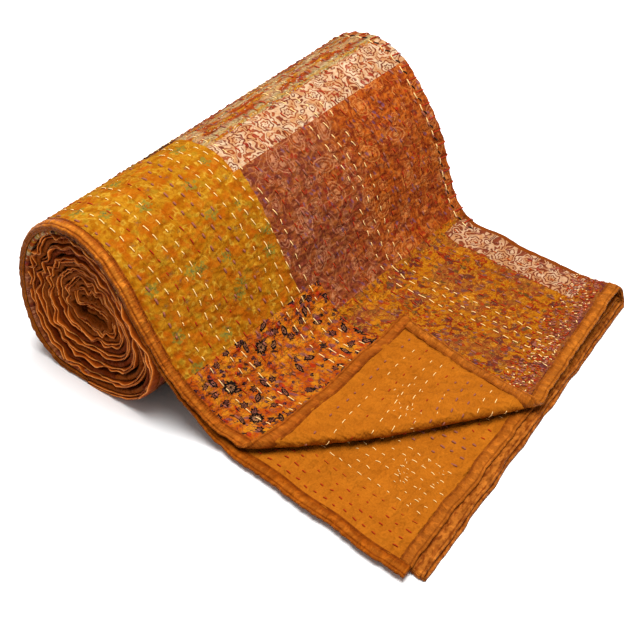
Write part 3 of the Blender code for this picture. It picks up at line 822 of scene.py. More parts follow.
def build_end_band():
    """The band round the four plies' ends, folded with them."""
    a1 = spaced(U_NEAR + 0.0117, U_FAR, 0.0026, ())
    kinds = [("A1", u) for u in a1] + [("outer", math.pi * (i + 1) / 10) for i in range(9)]
    a2 = spaced(U_NEAR, U_FAR, 0.0060, ())[::-1]
    kinds += [("A2", u) for u in a2] + [("near", math.pi - math.pi * (i + 1) / 8) for i in range(7)]
    kinds += [("B2", u) for u in a2[::-1]] + [("inner", math.pi - math.pi * (i + 1) / 6) for i in range(5)]
    kinds += [("B1", u) for u in spaced(U_NEAR + 0.0117, U_FAR, 0.0030, ())[::-1]]
    rings, uv = [], []
    profile = np.array(band_profile(FLAT_BAND))
    across = 0.0
    one = np.ones(len(profile))
    for k, (kind, share) in enumerate(kinds):
        across += 0.0028
        t = one.copy()
        h = profile[:, 1].copy()
        rim = np.exp(-profile[:, 0] / 0.0022)
        d = profile[:, 0] + 0.0004 * waves(one * across, one * 0, 0.025, 72) + 0.00042 * rim * waves(one * across, one * 0, 0.0085, 74)
        up = h > 0
        h = h + 0.00040 * rim * waves(one * across, one * 0, 0.0095, 75)
        lump = 0.00050 * waves(one * across, profile[:, 0] * 1.4, 0.010, 71) * np.sin(np.clip((0.0103 - profile[:, 0]) / 0.0103, 0, 1) * math.pi)
        h = h + np.where(up, lump, 0.0) + 0.0002 * waves(one * across, one * 0, 0.03, 73)
        rings.append(pack_points(kind, share, one * V_FLAT, t, h, inset=d)[0])
        uv.append(np.stack([one * across, np.where(up, profile[:, 0], 0.03 - profile[:, 0])], -1))
    return closed_strip("", np.stack(rings), np.stack(uv))


# ---------------------------------------------------------------- stitches
def face_point(u, v, h):
    """A point on the top ply, h above its middle."""
    x = u.copy()
    for _ in range(4):
        y = look(PATH_Y, x, v)
        x, drop, _ = place("A1", u, y, v)
    z, ny, nz = look(PATH_Z, x, v), look(PATH_NY, x, v), look(PATH_NZ, x, v)
    rim = 0.0016 * (np.exp(-np.maximum(x - 0.001, 0) / 0.0042) + np.exp(-np.maximum(0.3795 - x, 0) / 0.0042)) * smooth((0.12 - v) / 0.05)
    dip = drop + rim - far_lift("A1", 0.0, x, y) - near_curl("A1", x, y, v)
    px, py, pz = turn_back(x, y - ny * dip, z - nz * dip, ny, nz, h)
    return np.stack([px, py, np.maximum(pz, 0.0006)], -1)


def second_point(u, v, h):
    """A point on the second ply's upper side, which is its backing."""
    x = u.copy()
    for _ in range(4):
        y = look(PATH_Y, x, v)
        x, drop, _ = place("B1", u, y, v)
    z, ny, nz = look(PATH_Z, x, v), look(PATH_NY, x, v), look(PATH_NZ, x, v)
    dip = drop - near_curl("B1", x, y, v) - h
    return np.stack([x, y - ny * dip, z - nz * dip], -1)


def room(ply, u, v):
    """Distance from a place on the flat part to the ply's bound end."""
    x = u.copy()
    for _ in range(4):
        y = look(PATH_Y, x, v)
        x = place(ply, u, y, v)[0]
    return y - end_y(ply, x)


def threads(runs, radius, around=5):
    """Joined strands. runs is a list of (points, outward) arrays of n strands by m places."""
    points, faces, count = [], [], 0
    angle = 2 * math.pi * np.arange(around) / around
    for p, out, *own in runs:
        thick = radius * (own[0] if own else 1.0)
        # A strand that runs off the cloth has places without a number, and is left out
        whole = np.isfinite(p).all(axis=(1, 2)) & np.isfinite(out).all(axis=(1, 2))
        if np.ndim(thick) and len(thick) == len(p):
            thick = thick[whole]
        p, out = p[whole], out[whole]
        n, m = p.shape[:2]
        if n == 0:
            continue
        tangent = np.gradient(p, axis=1)
        tangent /= np.maximum(np.linalg.norm(tangent, axis=2, keepdims=True), 1e-9)
        side = np.cross(tangent, out)
        side /= np.maximum(np.linalg.norm(side, axis=2, keepdims=True), 1e-9)
        up = np.cross(side, tangent)
        taper = np.ones(m)
        taper[0] = taper[-1] = 0.55
        ring = p[:, :, None, :] + thick * taper[None, :, None, None] * (
            1.15 * np.cos(angle)[None, None, :, None] * side[:, :, None, :] + 0.85 * np.sin(angle)[None, None, :, None] * up[:, :, None, :]
        )
        index = np.arange(n * m * around).reshape(n, m, around) + count
        nxt = np.roll(index, -1, axis=2)
        body = np.stack([index[:, :-1], nxt[:, :-1], nxt[:, 1:], index[:, 1:]], -1).reshape(-1, 4)
        faces.append(np.concatenate([body[:, [0, 1, 2]], body[:, [0, 2, 3]]]))
        for i in range(1, around - 1):
            faces.append(np.stack([index[:, 0, 0], index[:, 0, i + 1], index[:, 0, i]], -1))
            faces.append(np.stack([index[:, -1, 0], index[:, -1, i], index[:, -1, i + 1]], -1))
        points.append(ring.reshape(-1, 3))
        count += n * m * around
    return np.concatenate(points), np.concatenate(faces)


# Thread colours of the rows, from the near edge to the far fold: w white, r red, p purple, o orange
FACE_ROWS = "pwrwwrpppwwwwrprporwwwrprpropor"
BACK_ROWS = "rrrowwwwwwpppprrwwpprrwwrrppww"
SPECKS = "wprpwprwpprwpwrpwprwprpwwprpwprwpr"


def end_runs(colour, rng):
    """Short close stitches in mixed threads on the patchwork's last few centimetres before the bound end."""
    runs = []
    f = np.array([0.0, 0.15, 0.5, 0.85, 1.0])
    lift = np.array([-0.00035, 0.00026, 0.00036, 0.00026, -0.00035])
    for k, c in enumerate(SPECKS):
        if c != colour:
            continue
        starts = np.arange(0.33, 0.47, 0.0052) + rng.uniform(0, 0.0052)
        starts = starts + rng.normal(0, 0.0006, len(starts))
        v = starts[:, None] + np.clip(rng.normal(0.0026, 0.0006, len(starts)), 0.0014, 0.004)[:, None] * f[None, :]
        u = 0.190 + 0.0046 * k + rng.normal(0, 0.0007, len(starts))[:, None] + rng.normal(0, 0.0006, len(starts))[:, None] * f[None, :] + 0 * v
        reach = 0.040 if k < 22 else 0.026
        space = room("A1", u[:, -1], v[:, -1])
        ok = (space > 0.0140) & (space < reach + rng.normal(0, 0.004, len(starts))) & (u.max(1) < 0.366) & (rng.uniform(0, 1, len(starts)) > 0.15)
        u, v = u[ok], v[ok]
        if not len(u):
            continue
        base = 0.00105 + pucker(u, v)
        p = face_point(u, v, base + lift)
        out = face_point(u, v, base + lift + 0.001) - p
        runs.append((p, out / np.linalg.norm(out, axis=2, keepdims=True)))
    return runs


def scattered_runs(colour, rng):
    """Short stitches that lie every way, close to the patchwork's bound end."""
    count = {"w": 95, "r": 210, "p": 170, "o": 80}[colour]
    f = np.array([0.0, 0.2, 0.5, 0.8, 1.0])
    lift = np.array([-0.00035, 0.00024, 0.00034, 0.00024, -0.00035])
    u0 = 0.376 - 0.216 * rng.uniform(0, 1, count) ** 1.1
    v0 = np.full(count, 0.40)
    v0 = v0 + room("A1", u0, v0) - 0.0158 - 0.028 * rng.uniform(0, 1, count) ** 1.5
    turn = rng.normal(math.pi / 2, 0.75, count)
    long = rng.uniform(0.0014, 0.0036, count)
    off = long[:, None] * (f[None, :] - 0.5)
    u = u0[:, None] + off * np.cos(turn)[:, None]
    v = v0[:, None] + off * np.sin(turn)[:, None]
    space = np.minimum(room("A1", u[:, -1], v[:, -1]), room("A1", u[:, 0], v[:, 0]))
    ok = space > 0.0138
    u, v = u[ok], v[ok]
    base = 0.00108 + pucker(u, v)
    p = face_point(u, v, base + lift)
    out = face_point(u, v, base + lift + 0.001) - p
    return [(p, out / np.linalg.norm(out, axis=2, keepdims=True))]


def face_runs(colour, rng):
    """The running stitches in one colour on the patchwork, from the roll's underside to the loose end."""
    runs = []
    for k, c in enumerate(FACE_ROWS):
        if c != colour:
            continue
        pitch = 0.0108 if colour == "w" else 0.0116
        starts = np.arange(V_START + 0.006, 0.46, pitch) + rng.normal(0, 0.0007, len(np.arange(V_START + 0.006, 0.46, pitch))) + rng.uniform(0, pitch)
        long = np.clip(rng.normal({"w": 0.0054, "p": 0.0042}.get(colour, 0.0048), 0.0012, len(starts)), 0.0022, 0.0088)
        keep = rng.uniform(0, 1, len(starts)) > (0.03 if colour == "w" else 0.12)
        starts, long = starts[keep], long[keep]
        lane = ROW_FIRST + ROW_PITCH * k + 0.0009 * waves(starts, starts * 0, 0.09, 80 + k) + rng.normal(0, 0.0003, len(starts))
        f = np.array([0.0, 0.12, 0.5, 0.88, 1.0])
        v = starts[:, None] + long[:, None] * f[None, :]
        u = lane[:, None] + drift(v) + rng.normal(0, 0.0004, len(starts))[:, None] * (f[None, :] - 0.5)
        ok = (u.min(1) > 0.0150) & (u.max(1) < U_FAR - 0.0075) & (room("A1", u[:, -1], np.clip(v[:, -1], 0, 0.5)) > 0.0150)
        u, v = u[ok], v[ok]
        lift = np.array([-0.00035, 0.00028, 0.00040, 0.00028, -0.00035])
        base = 0.00105 + pucker(u, v)
        p = face_point(u, v, base + lift)
        out = face_point(u, v, base + lift + 0.001) - p
        runs.append((p, out / np.linalg.norm(out, axis=2, keepdims=True)))
    return runs


def turned_runs(colour, rng):
    """The same rows where they come through on the backing of the turned-back corner."""
    runs = []
    for k, c in enumerate(FACE_ROWS[:20]):
        if c != colour:
            continue
        pitch = 0.0110
        starts = np.arange(0.235, 0.46, pitch) + rng.uniform(0, pitch)
        long = np.clip(rng.normal(0.0040 if colour == "w" else 0.0026, 0.0007, len(starts)), 0.0015, 0.006)
        keep = rng.uniform(0, 1, len(starts)) > 0.10
        starts, long = starts[keep], long[keep]
        f = np.array([0.0, 0.15, 0.5, 0.85, 1.0])
        v = starts[:, None] + long[:, None] * f[None, :]
        u = ROW_FIRST + ROW_PITCH * k + rng.normal(0, 0.0004, len(starts))[:, None] + drift(v)
        ok = (u.min(1) > 0.0165) & (room("A1", u[:, -1], v[:, -1]) > 0.0165)
        u, v = u[ok], v[ok]
        n = u.ravel()
        down = 1.0 * pucker(u, v) + 0.00016 * waves(u, v, 0.012, 9)
        base = -0.00105 + down
        lift = -np.array([-0.00035, 0.00028, 0.00040, 0.00028, -0.00035])
        p = face_point(u, v, base + lift)
        out = face_point(u, v, base + lift - 0.001) - p
        runs.append((p, out / np.linalg.norm(out, axis=2, keepdims=True), 0.80))
    return runs


def second_runs(colour, rng):
    """Rows on the second ply's backing, which shows where the corner is turned back."""
    runs = []
    for k, c in enumerate(BACK_ROWS[:20]):
        if c != colour:
            continue
        pitch = 0.0102
        starts = np.arange(0.225, 0.44, pitch) + rng.uniform(0, pitch)
        long = np.clip(rng.normal(0.0038, 0.0010, len(starts)), 0.0012, 0.0062)
        keep = rng.uniform(0, 1, len(starts)) > 0.12
        starts, long = starts[keep], long[keep]
        f = np.array([0.0, 0.15, 0.5, 0.85, 1.0])
        v = starts[:, None] + long[:, None] * f[None, :]
        u = 0.0210 + 0.0098 * k + 0.0007 * waves(starts, starts * 0, 0.07, 130 + k)[:, None] + rng.normal(0, 0.0004, len(starts))[:, None] + rng.normal(0, 0.0005, len(starts))[:, None] * f[None, :]
        ok = (u.min(1) > 0.0165) & (room("B1", u[:, -1], v[:, -1]) > 0.0150)
        u, v = u[ok], v[ok]
        if not len(u):
            continue
        low = -0.00055 * smooth((v - 0.21) / 0.03) * (pucker(u, v + 0.3) / 0.0005) + 0.00015 * waves(u, v, 0.03, 12)
        base = 0.00098 - np.clip(low, -0.0013, 0.0009)
        lift = np.array([-0.00035, 0.00028, 0.00040, 0.00028, -0.00035])
        p = second_point(u, v, base + lift)
        out = second_point(u, v, base + lift + 0.001) - p
        runs.append((p, out / np.linalg.norm(out, axis=2, keepdims=True), 0.80 if colour == "w" else 0.95))
    return runs


def loose_runs(colour, rng):
    """White stitches that wander between the rows: on the second ply's backing and on the turned-back corner."""
    if colour != "w":
        return []
    runs = []
    f = np.array([0.0, 0.2, 0.5, 0.8, 1.0])
    lift = np.array([-0.00035, 0.00020, 0.00030, 0.00020, -0.00035])
    for ply, count, (low, high), reach in (("B1", 32, (0.062, 0.112), (0.024, 0.062)), ("A1", 20, (0.045, 0.105), (0.050, 0.092))):
        u0 = rng.uniform(low, high, count)
        v0 = np.full(count, 0.36)
        v0 = v0 + room(ply, u0, v0) - rng.uniform(*reach, count)
        turn = rng.normal(math.pi / 2, 0.55, count)
        off = rng.uniform(0.0014, 0.0034, count)[:, None] * (f[None, :] - 0.5)
        u = u0[:, None] + off * np.cos(turn)[:, None]
        v = v0[:, None] + off * np.sin(turn)[:, None]
        if ply == "B1":
            base = 0.00098 + 0.00015 * waves(u, v, 0.03, 12)
            p = second_point(u, v, base + lift)
            out = second_point(u, v, base + lift + 0.001) - p
        else:
            base = -0.00105 + pucker(u, v) + 0.00016 * waves(u, v, 0.012, 9)
            p = face_point(u, v, base - lift)
            out = face_point(u, v, base - lift - 0.001) - p
        runs.append((p, out / np.linalg.norm(out, axis=2, keepdims=True), 0.54))
    return runs


def bold_runs(colour, rng):
    """The bold stitches along the far fold, with strands that go over it."""
    runs = []
    pitch = 0.0130
    at = np.arange(-0.240, 0.200, pitch)
    at = at + rng.normal(0, 0.0005, len(at))
    f = np.array([0.0, 0.12, 0.5, 0.88, 1.0])
    lift = np.array([-0.0003, 0.00050, 0.00065, 0.00050, -0.0003])
    if colour in "wk":
        shift = 0.0 if colour == "w" else 0.0062
        long = np.where(rng.uniform(0, 1, len(at)) > 0.2, 0.0066, 0.0045) if colour == "w" else np.full(len(at), 0.0042)
        v = (at + shift)[:, None] + long[:, None] * f
        u = 0.3655 + 0.0006 * np.sin(v * 60) + (0.0 if colour == "w" else 0.0012 + 0.0016 * f[None, :])
        base = 0.00105 + pucker(u, v)
        p = face_point(u, v, base + lift)
        out = face_point(u, v, base + lift + 0.001) - p
        runs.append((p, out / np.linalg.norm(out, axis=2, keepdims=True)))
    if colour == "r":
        # Over the fold, from just inside it to a little way round
        m = 9
        v0 = at + 0.0015
        pts, outs = [], []
        for j, share in enumerate(np.linspace(-0.62, 0.62, m)):
            v = v0 + 0.0022 * j / (m - 1)
            h = 0.00105 + 0.0001 + (0.00022 if 0 < j < m - 1 else -0.0006)
            if share < 0:
                u = np.full(len(v), U_FAR + share * 0.014)
                h = h + pucker(u, v)
                p = face_point(u, v, h)
                q = face_point(u, v, h + 0.001)
            else:
                p = pack_points("outer", share * 2.3 + 0.05, v, np.full(len(v), np.nan), np.full(len(v), h))[0]
                q = pack_points("outer", share * 2.3 + 0.05, v, np.full(len(v), np.nan), np.full(len(v), h + 0.001))[0]
            pts.append(p)
            outs.append(q - p)
        p, out = np.stack(pts, 1), np.stack(outs, 1)
        runs.append((p, out / np.linalg.norm(out, axis=2, keepdims=True)))
    return runs


def topstitch_runs(rng):
    """The fine stitches that hold the bands, in their groove, on the parts that show."""
    runs = []
    f = np.array([0.0, 0.2, 0.5, 0.8, 1.0])
    lift = np.array([-0.0003, 0.00012, 0.00020, 0.00012, -0.0003])
    for ply, low, sides in (("A1", -0.10, (1.0, -1.0)), ("B1", 0.20, (-1.0,))):
        starts = np.arange(low, 0.46, 0.0032)
        v = starts[:, None] + 0.0022 * f[None, :]
        for side in sides:
            shape_of = v.shape
            flat_v = v.ravel()
            rows, nan = flat_v, np.full(flat_v.shape, np.nan)
            h = side * (0.00128 + np.tile(lift, len(starts)))
            p = pack_points(ply, 0.01, rows, nan, h * SIDE[ply] * (1 if ply == "A1" else -1), inset=0, fixed=0.0103)[0]
            q = pack_points(ply, 0.01, rows, nan, (h + side * 0.001) * SIDE[ply] * (1 if ply == "A1" else -1), inset=0, fixed=0.0103)[0]
            x = near_x(ply, look(PATH_Y, np.full(rows.shape, 0.03), rows)) + 0.0103
            left = look(PATH_Y, x, rows) - end_y(ply, x)
            ok = (left.reshape(shape_of).min(1) > 0.0010)
            p, q = p.reshape(*shape_of, 3)[ok], q.reshape(*shape_of, 3)[ok]
            if side < 0 and ply == "A1":
                shown = v[ok].min(1) > 0.24
                p, q = p[shown], q[shown]
            out = q - p
            runs.append((p, out / np.linalg.norm(out, axis=2, keepdims=True)))
    return runs


# ---------------------------------------------------------------- materials
def srgb(r, g, b):
    def one(c):
        c /= 255
        return c / 12.92 if c <= 0.04045 else ((c + 0.055) / 1.055) ** 2.4

    return (one(r), one(g), one(b), 1.0)


DYE = 0.52  # every cloth's tone against the stated colours


class Graph:
    """A short way to write a node tree. Values are sockets or plain numbers."""

    def __init__(self, name, roughness=0.88, sheen=0.02, specular=0.03):
        self.material = bpy.data.materials.new(name)
        self.material.use_nodes = True
        self.tree = self.material.node_tree
        self.shader = self.tree.nodes["Principled BSDF"]
        self.shader.inputs["Roughness"].default_value = roughness
        self.shader.inputs["Sheen Weight"].default_value = sheen
        self.shader.inputs["Sheen Roughness"].default_value = 0.45
        self.shader.inputs["Sheen Tint"].default_value = srgb(255, 190, 110)
        self.shader.inputs["Specular IOR Level"].default_value = specular
        self.shader.inputs["Specular Tint"].default_value = srgb(255, 176, 92)
        uv = self.tree.nodes.new("ShaderNodeUVMap")
        uv.uv_map = "cloth"
        self.mm = self.vector("SCALE", uv.outputs[0], scale=1000.0)
        self.place = self.noise_vector = None

    def set(self, socket, value):
        if isinstance(value, bpy.types.NodeSocket):
            self.tree.links.new(value, socket)
        elif value is not None:
            socket.default_value = value

    def vector(self, operation, a, b=None, scale=None):
        node = self.tree.nodes.new("ShaderNodeVectorMath")
        node.operation = operation
        self.set(node.inputs[0], a)
        if b is not None:
            self.set(node.inputs[1], b)
        if scale is not None:
            self.set(node.inputs["Scale"], scale)
        return node.outputs["Value"] if operation in ("LENGTH", "DISTANCE", "DOT_PRODUCT") else node.outputs["Vector"]

    def math(self, operation, a, b=None, c=None, clamp=False):
        node = self.tree.nodes.new("ShaderNodeMath")
        node.operation = operation
        node.use_clamp = clamp
        for socket, value in zip(node.inputs, (a, b, c)):
            if value is not None:
                self.set(socket, value)
        return node.outputs[0]

    def noise(self, vector, size, detail=2.0, rough=0.5, distortion=0.0, colour=False):
        """size is the feature's size in mm."""
        node = self.tree.nodes.new("ShaderNodeTexNoise")
        self.set(node.inputs["Vector"], vector)
        node.inputs["Scale"].default_value = 1.0 / size
        node.inputs["Detail"].default_value = detail
        node.inputs["Roughness"].default_value = rough
        node.inputs["Distortion"].default_value = distortion
        return node.outputs["Color" if colour else "Fac"]

    def cells(self, vector, size, feature="F1", randomness=1.0):
        node = self.tree.nodes.new("ShaderNodeTexVoronoi")
        node.feature = feature
        self.set(node.inputs["Vector"], vector)
        node.inputs["Scale"].default_value = 1.0 / size
        node.inputs["Randomness"].default_value = randomness
        return node

    def band(self, value, low, high, soft):
        """1 between low and high, with soft sides."""
        up = self.step(value, low, soft)
        down = self.step(value, high, soft)
        return self.math("SUBTRACT", up, down, clamp=True)

    def step(self, value, edge, soft):
        node = self.tree.nodes.new("ShaderNodeMapRange")
        node.interpolation_type = "SMOOTHSTEP"
        self.set(node.inputs["Value"], value)
        node.inputs["From Min"].default_value = edge - soft
        node.inputs["From Max"].default_value = edge + soft
        return node.outputs["Result"]

    def mix(self, share, a, b, blend="MIX"):
        node = self.tree.nodes.new("ShaderNodeMix")
        node.data_type = "RGBA"
        node.blend_type = blend
        node.clamp_factor = True
        self.set(node.inputs[0], share)
        self.set(node.inputs[6], a)
        self.set(node.inputs[7], b)
        return node.outputs[2]

    def ramp(self, value, stops, constant=False):
        node = self.tree.nodes.new("ShaderNodeValToRGB")
        if constant:
            node.color_ramp.interpolation = "CONSTANT"
        self.set(node.inputs[0], value)
        elements = node.color_ramp.elements
        while len(elements) < len(stops):
            elements.new(0.5)
        for element, (at, colour) in zip(elements, stops):
            element.position = at
            element.color = colour
        return node.outputs["Color"]

    def split(self, vector):
        node = self.tree.nodes.new("ShaderNodeSeparateXYZ")
        self.set(node.inputs[0], vector)
        return node.outputs

    def join(self, x, y, z=0.0):
        node = self.tree.nodes.new("ShaderNodeCombineXYZ")
        for socket, value in zip(node.inputs, (x, y, z)):
            self.set(socket, value)
        return node.outputs[0]

    def warped(self, size, amount):
        """The place on the cloth, pushed about by noise, in mm."""
        push = self.noise(self.mm, size, 1.0, colour=True)
        push = self.vector("SUBTRACT", push, (0.5, 0.5, 0.5))
        push = self.vector("MULTIPLY", push, (amount, amount, 0.0))
        return self.vector("ADD", self.mm, push)

    def flecks(self, size, long, share, seed, turn=0.0):
        """Small separate marks: a mask of cells, stretched along v and thinned out."""
        moved = self.vector("ADD", self.warped(size * 2.2, size * 1.2), (seed * 37.0, seed * 11.0, 0.0))
        rotated = self.tree.nodes.new("ShaderNodeVectorRotate")
        rotated.rotation_type = "Z_AXIS"
        self.set(rotated.inputs["Vector"], moved)
        rotated.inputs["Angle"].default_value = turn
        stretched = self.vector("MULTIPLY", rotated.outputs[0], (1.0, 1.0 / long, 0.0))
        node = self.cells(stretched, size)
        dot = self.math("SUBTRACT", 1.0, self.step(node.outputs["Distance"], 0.30, 0.07))
        chosen = self.math("LESS_THAN", self.split(node.outputs["Color"])[0], share)
        return self.math("MULTIPLY", dot, chosen)

    def finish(self, colour, bumps, lift=None):
        """Adds the weave's fine light and dark to a colour, painted shade in the bumps' hollows and painted light on
        their ridges, and the bumps. lift marks the places given a painted highlight.
        """
        u, v, _ = self.split(self.mm)
        warp = self.math("SINE", self.math("MULTIPLY", u, 2 * math.pi / 0.62))
        weft = self.math("SINE", self.math("MULTIPLY", v, 2 * math.pi / 0.62))
        weave = self.math("MULTIPLY", warp, weft)
        grain = self.noise(self.vector("MULTIPLY", self.mm, (1.0, 0.35, 0.0)), 0.9, 2.0)
        cloud = self.noise(self.mm, 38.0, 2.0)
        shade = self.math("ADD", self.math("MULTIPLY", grain, 0.44), 0.76)
        shade = self.math("MULTIPLY", shade, self.math("ADD", self.math("MULTIPLY", cloud, 0.36), 0.80))
        shade = self.math("MULTIPLY", shade, self.math("ADD", self.math("MULTIPLY", weave, 0.04), 1.0))
        # Painted shade and light: the hollows of the puckered cloth are darkened and its ridges lightened.
        for socket, _, tone in bumps:
            if tone:
                shade = self.math("MULTIPLY", shade, self.math("ADD", self.math("MULTIPLY", socket, tone), 1.0 - 0.5 * tone))
        # Painted highlight where lift is above zero.
        if lift is not None:
            shade = self.math("MULTIPLY", shade, self.math("ADD", lift, 1.0))
        # Dark places, painted shade among them, are made redder and light ones paler
        green = self.math("POWER", shade, 1.14)
        blue = self.math("POWER", shade, 1.42)
        shades = self.join(self.math("MULTIPLY", shade, DYE), self.math("MULTIPLY", green, DYE), self.math("MULTIPLY", blue, DYE))
        toned = self.vector("MULTIPLY", colour, shades)
        self.tree.links.new(toned, self.shader.inputs["Base Color"])
        height = self.math("MULTIPLY", weave, 0.035)
        height = self.math("ADD", height, self.math("MULTIPLY", grain, 0.14))
        for socket, amount, _ in bumps:
            height = self.math("ADD", height, self.math("MULTIPLY", socket, amount))
        bump = self.tree.nodes.new("ShaderNodeBump")
        bump.inputs["Strength"].default_value = 0.75
        bump.inputs["Distance"].default_value = 0.001
        self.tree.links.new(height, bump.inputs["Height"])
        self.tree.links.new(bump.outputs[0], self.shader.inputs["Normal"])
        return self.material

    def quilting(self, strength=1.0, tone=1.0, size=4.0, detail=2.5):
        """Fine ripples between the stitch rows, as heights in mm."""
        u, v, _ = self.split(self.mm)
        ripples = self.noise(self.vector("MULTIPLY", self.mm, (0.60, 1.0, 0.0)), size, detail, 0.55)
        fine = self.noise(self.vector("MULTIPLY", self.mm, (1.0, 0.7, 0.0)), 1.8, 1.0)
        slide = self.math("MULTIPLY", self.step(v, 55.0, 45.0), 11.8)
        row = self.math("PINGPONG", self.math("DIVIDE", self.math("SUBTRACT", self.math("SUBTRACT", u, slide), 17.0), 12.0), 0.5)
        valley = self.step(row, 0.055, 0.055)
        # The third number of each is how strongly finish paints shade into its hollows and light onto its ridges.
        return [(ripples, 5.6 * strength, 0.60 * tone), (fine, 1.1 * strength, 0.26 * tone), (valley, 0.45 * strength, 0.12)]

    def motif(self, size, seed, petals, reach, share, squash=1.35, depth=0.14, spin=False, randomness=0.85):
        """Scattered motifs, one a cell. Gives masks of the inside, of a ring, of the middle, and the cell's own numbers."""
        moved = self.vector("ADD", self.mm, (seed * 7.1, seed * 3.3, 0.0))
        node = self.cells(moved, size, randomness=randomness)
        local = self.vector("SCALE", self.vector("SUBTRACT", moved, node.outputs["Position"]), scale=1.0 / size)
        tone = self.split(node.outputs["Color"])
        if spin:
            rotated = self.tree.nodes.new("ShaderNodeVectorRotate")
            rotated.rotation_type = "Z_AXIS"
            self.set(rotated.inputs["Vector"], local)
            self.set(rotated.inputs["Angle"], self.math("MULTIPLY", tone[2], 6.28))
            local = rotated.outputs[0]
        lx, ly, _ = self.split(local)
        ly = self.math("MULTIPLY", ly, squash)
        angle = self.math("ARCTAN2", ly, lx)
        radius = self.math("SQRT", self.math("ADD", self.math("MULTIPLY", lx, lx), self.math("MULTIPLY", ly, ly)))
        wave = self.math("SINE", self.math("ADD", self.math("MULTIPLY", angle, petals), self.math("MULTIPLY", tone[1], 6.0)))
        ragged = self.math("MULTIPLY", self.math("SUBTRACT", self.noise(self.mm, 1.5, 1.0), 0.5), 3.6 / size)
        radius = self.math("ADD", self.math("ADD", radius, self.math("MULTIPLY", wave, reach * depth)), ragged)
        chosen = self.math("LESS_THAN", tone[0], share)
        inside = self.math("MULTIPLY", self.math("SUBTRACT", 1.0, self.step(radius, reach, reach * 0.10)), chosen)
        ring = self.math("MULTIPLY", self.band(radius, reach * 0.52, reach, reach * 0.10), chosen)
        dot = self.math("MULTIPLY", self.math("SUBTRACT", 1.0, self.step(radius, reach * 0.24, reach * 0.08)), chosen)
        outer = self.band(radius, reach * 0.88, reach, reach * 0.05)
        inner = self.band(radius, reach * 0.56, reach * 0.64, reach * 0.05)
        self.outline = self.math("MULTIPLY", self.math("MAXIMUM", outer, inner), chosen)
        return inside, ring, dot, tone


def leaf_material():
    g = Graph("patch_leaf")
    soft = g.noise(g.warped(9.0, 6.0), 10.0, 2.2, 0.58)
    colour = g.ramp(soft, ((0.30, srgb(176, 98, 12)), (0.45, srgb(198, 126, 18)), (0.58, srgb(212, 148, 34)), (0.72, srgb(186, 104, 14))))
    v = g.split(g.mm)[1]
    # Painted shade: darker and redder towards the patch's lower end on the ramp, where the cloth faces away from the
    # light.
    low = g.step(g.math("ADD", v, g.math("MULTIPLY", g.noise(g.mm, 40.0, 1.0), 60.0)), 120.0, 55.0)
    colour = g.mix(g.math("MULTIPLY", low, 0.16), colour, srgb(176, 88, 12))
    # Thin twigs and leaf edges
    twig = g.noise(g.warped(7.0, 6.0), 7.5, 1.0)
    colour = g.mix(g.math("MULTIPLY", g.band(twig, 0.470, 0.505, 0.012), 0.50), colour, srgb(172, 96, 16))
    colour = g.mix(g.math("MULTIPLY", g.band(twig, 0.60, 0.66, 0.02), 0.50), colour, srgb(240, 192, 72))
    red = g.flecks(8.0, 1.5, 0.36, 1.0, 0.5)
    colour = g.mix(g.math("MULTIPLY", red, 0.55), colour, srgb(196, 92, 16))
    green = g.flecks(9.0, 1.3, 0.30, 2.0, 1.1)
    colour = g.mix(g.math("MULTIPLY", green, 0.42), colour, srgb(176, 146, 40))
    blotch = g.step(g.noise(g.vector("ADD", g.mm, (400.0, 90.0, 0.0)), 14.0, 2.0), 0.54, 0.06)
    colour = g.mix(g.math("MULTIPLY", blotch, 0.55), colour, srgb(204, 98, 14))
    inside, ring, dot, tone = g.motif(38.0, 2.0, 5.0, 0.175, 0.70, 1.2, 0.22)
    vein = g.step(g.noise(g.mm, 2.8, 1.0), 0.47, 0.08)
    colour = g.mix(g.math("MULTIPLY", g.math("MULTIPLY", inside, vein), 0.72), colour, srgb(146, 140, 56))
    colour = g.mix(g.math("MULTIPLY", g.math("MULTIPLY", dot, vein), 0.75), colour, srgb(96, 104, 66))
    inside, ring, dot, tone = g.motif(23.0, 9.0, 5.0, 0.13, 0.42, 1.5, 0.30)
    colour = g.mix(g.math("MULTIPLY", ring, 0.55), colour, srgb(152, 104, 40))
    colour = g.mix(g.math("MULTIPLY", dot, 0.7), colour, srgb(126, 84, 92))
    return g.finish(colour, g.quilting(0.66, 0.52, 6.4, 1.0))


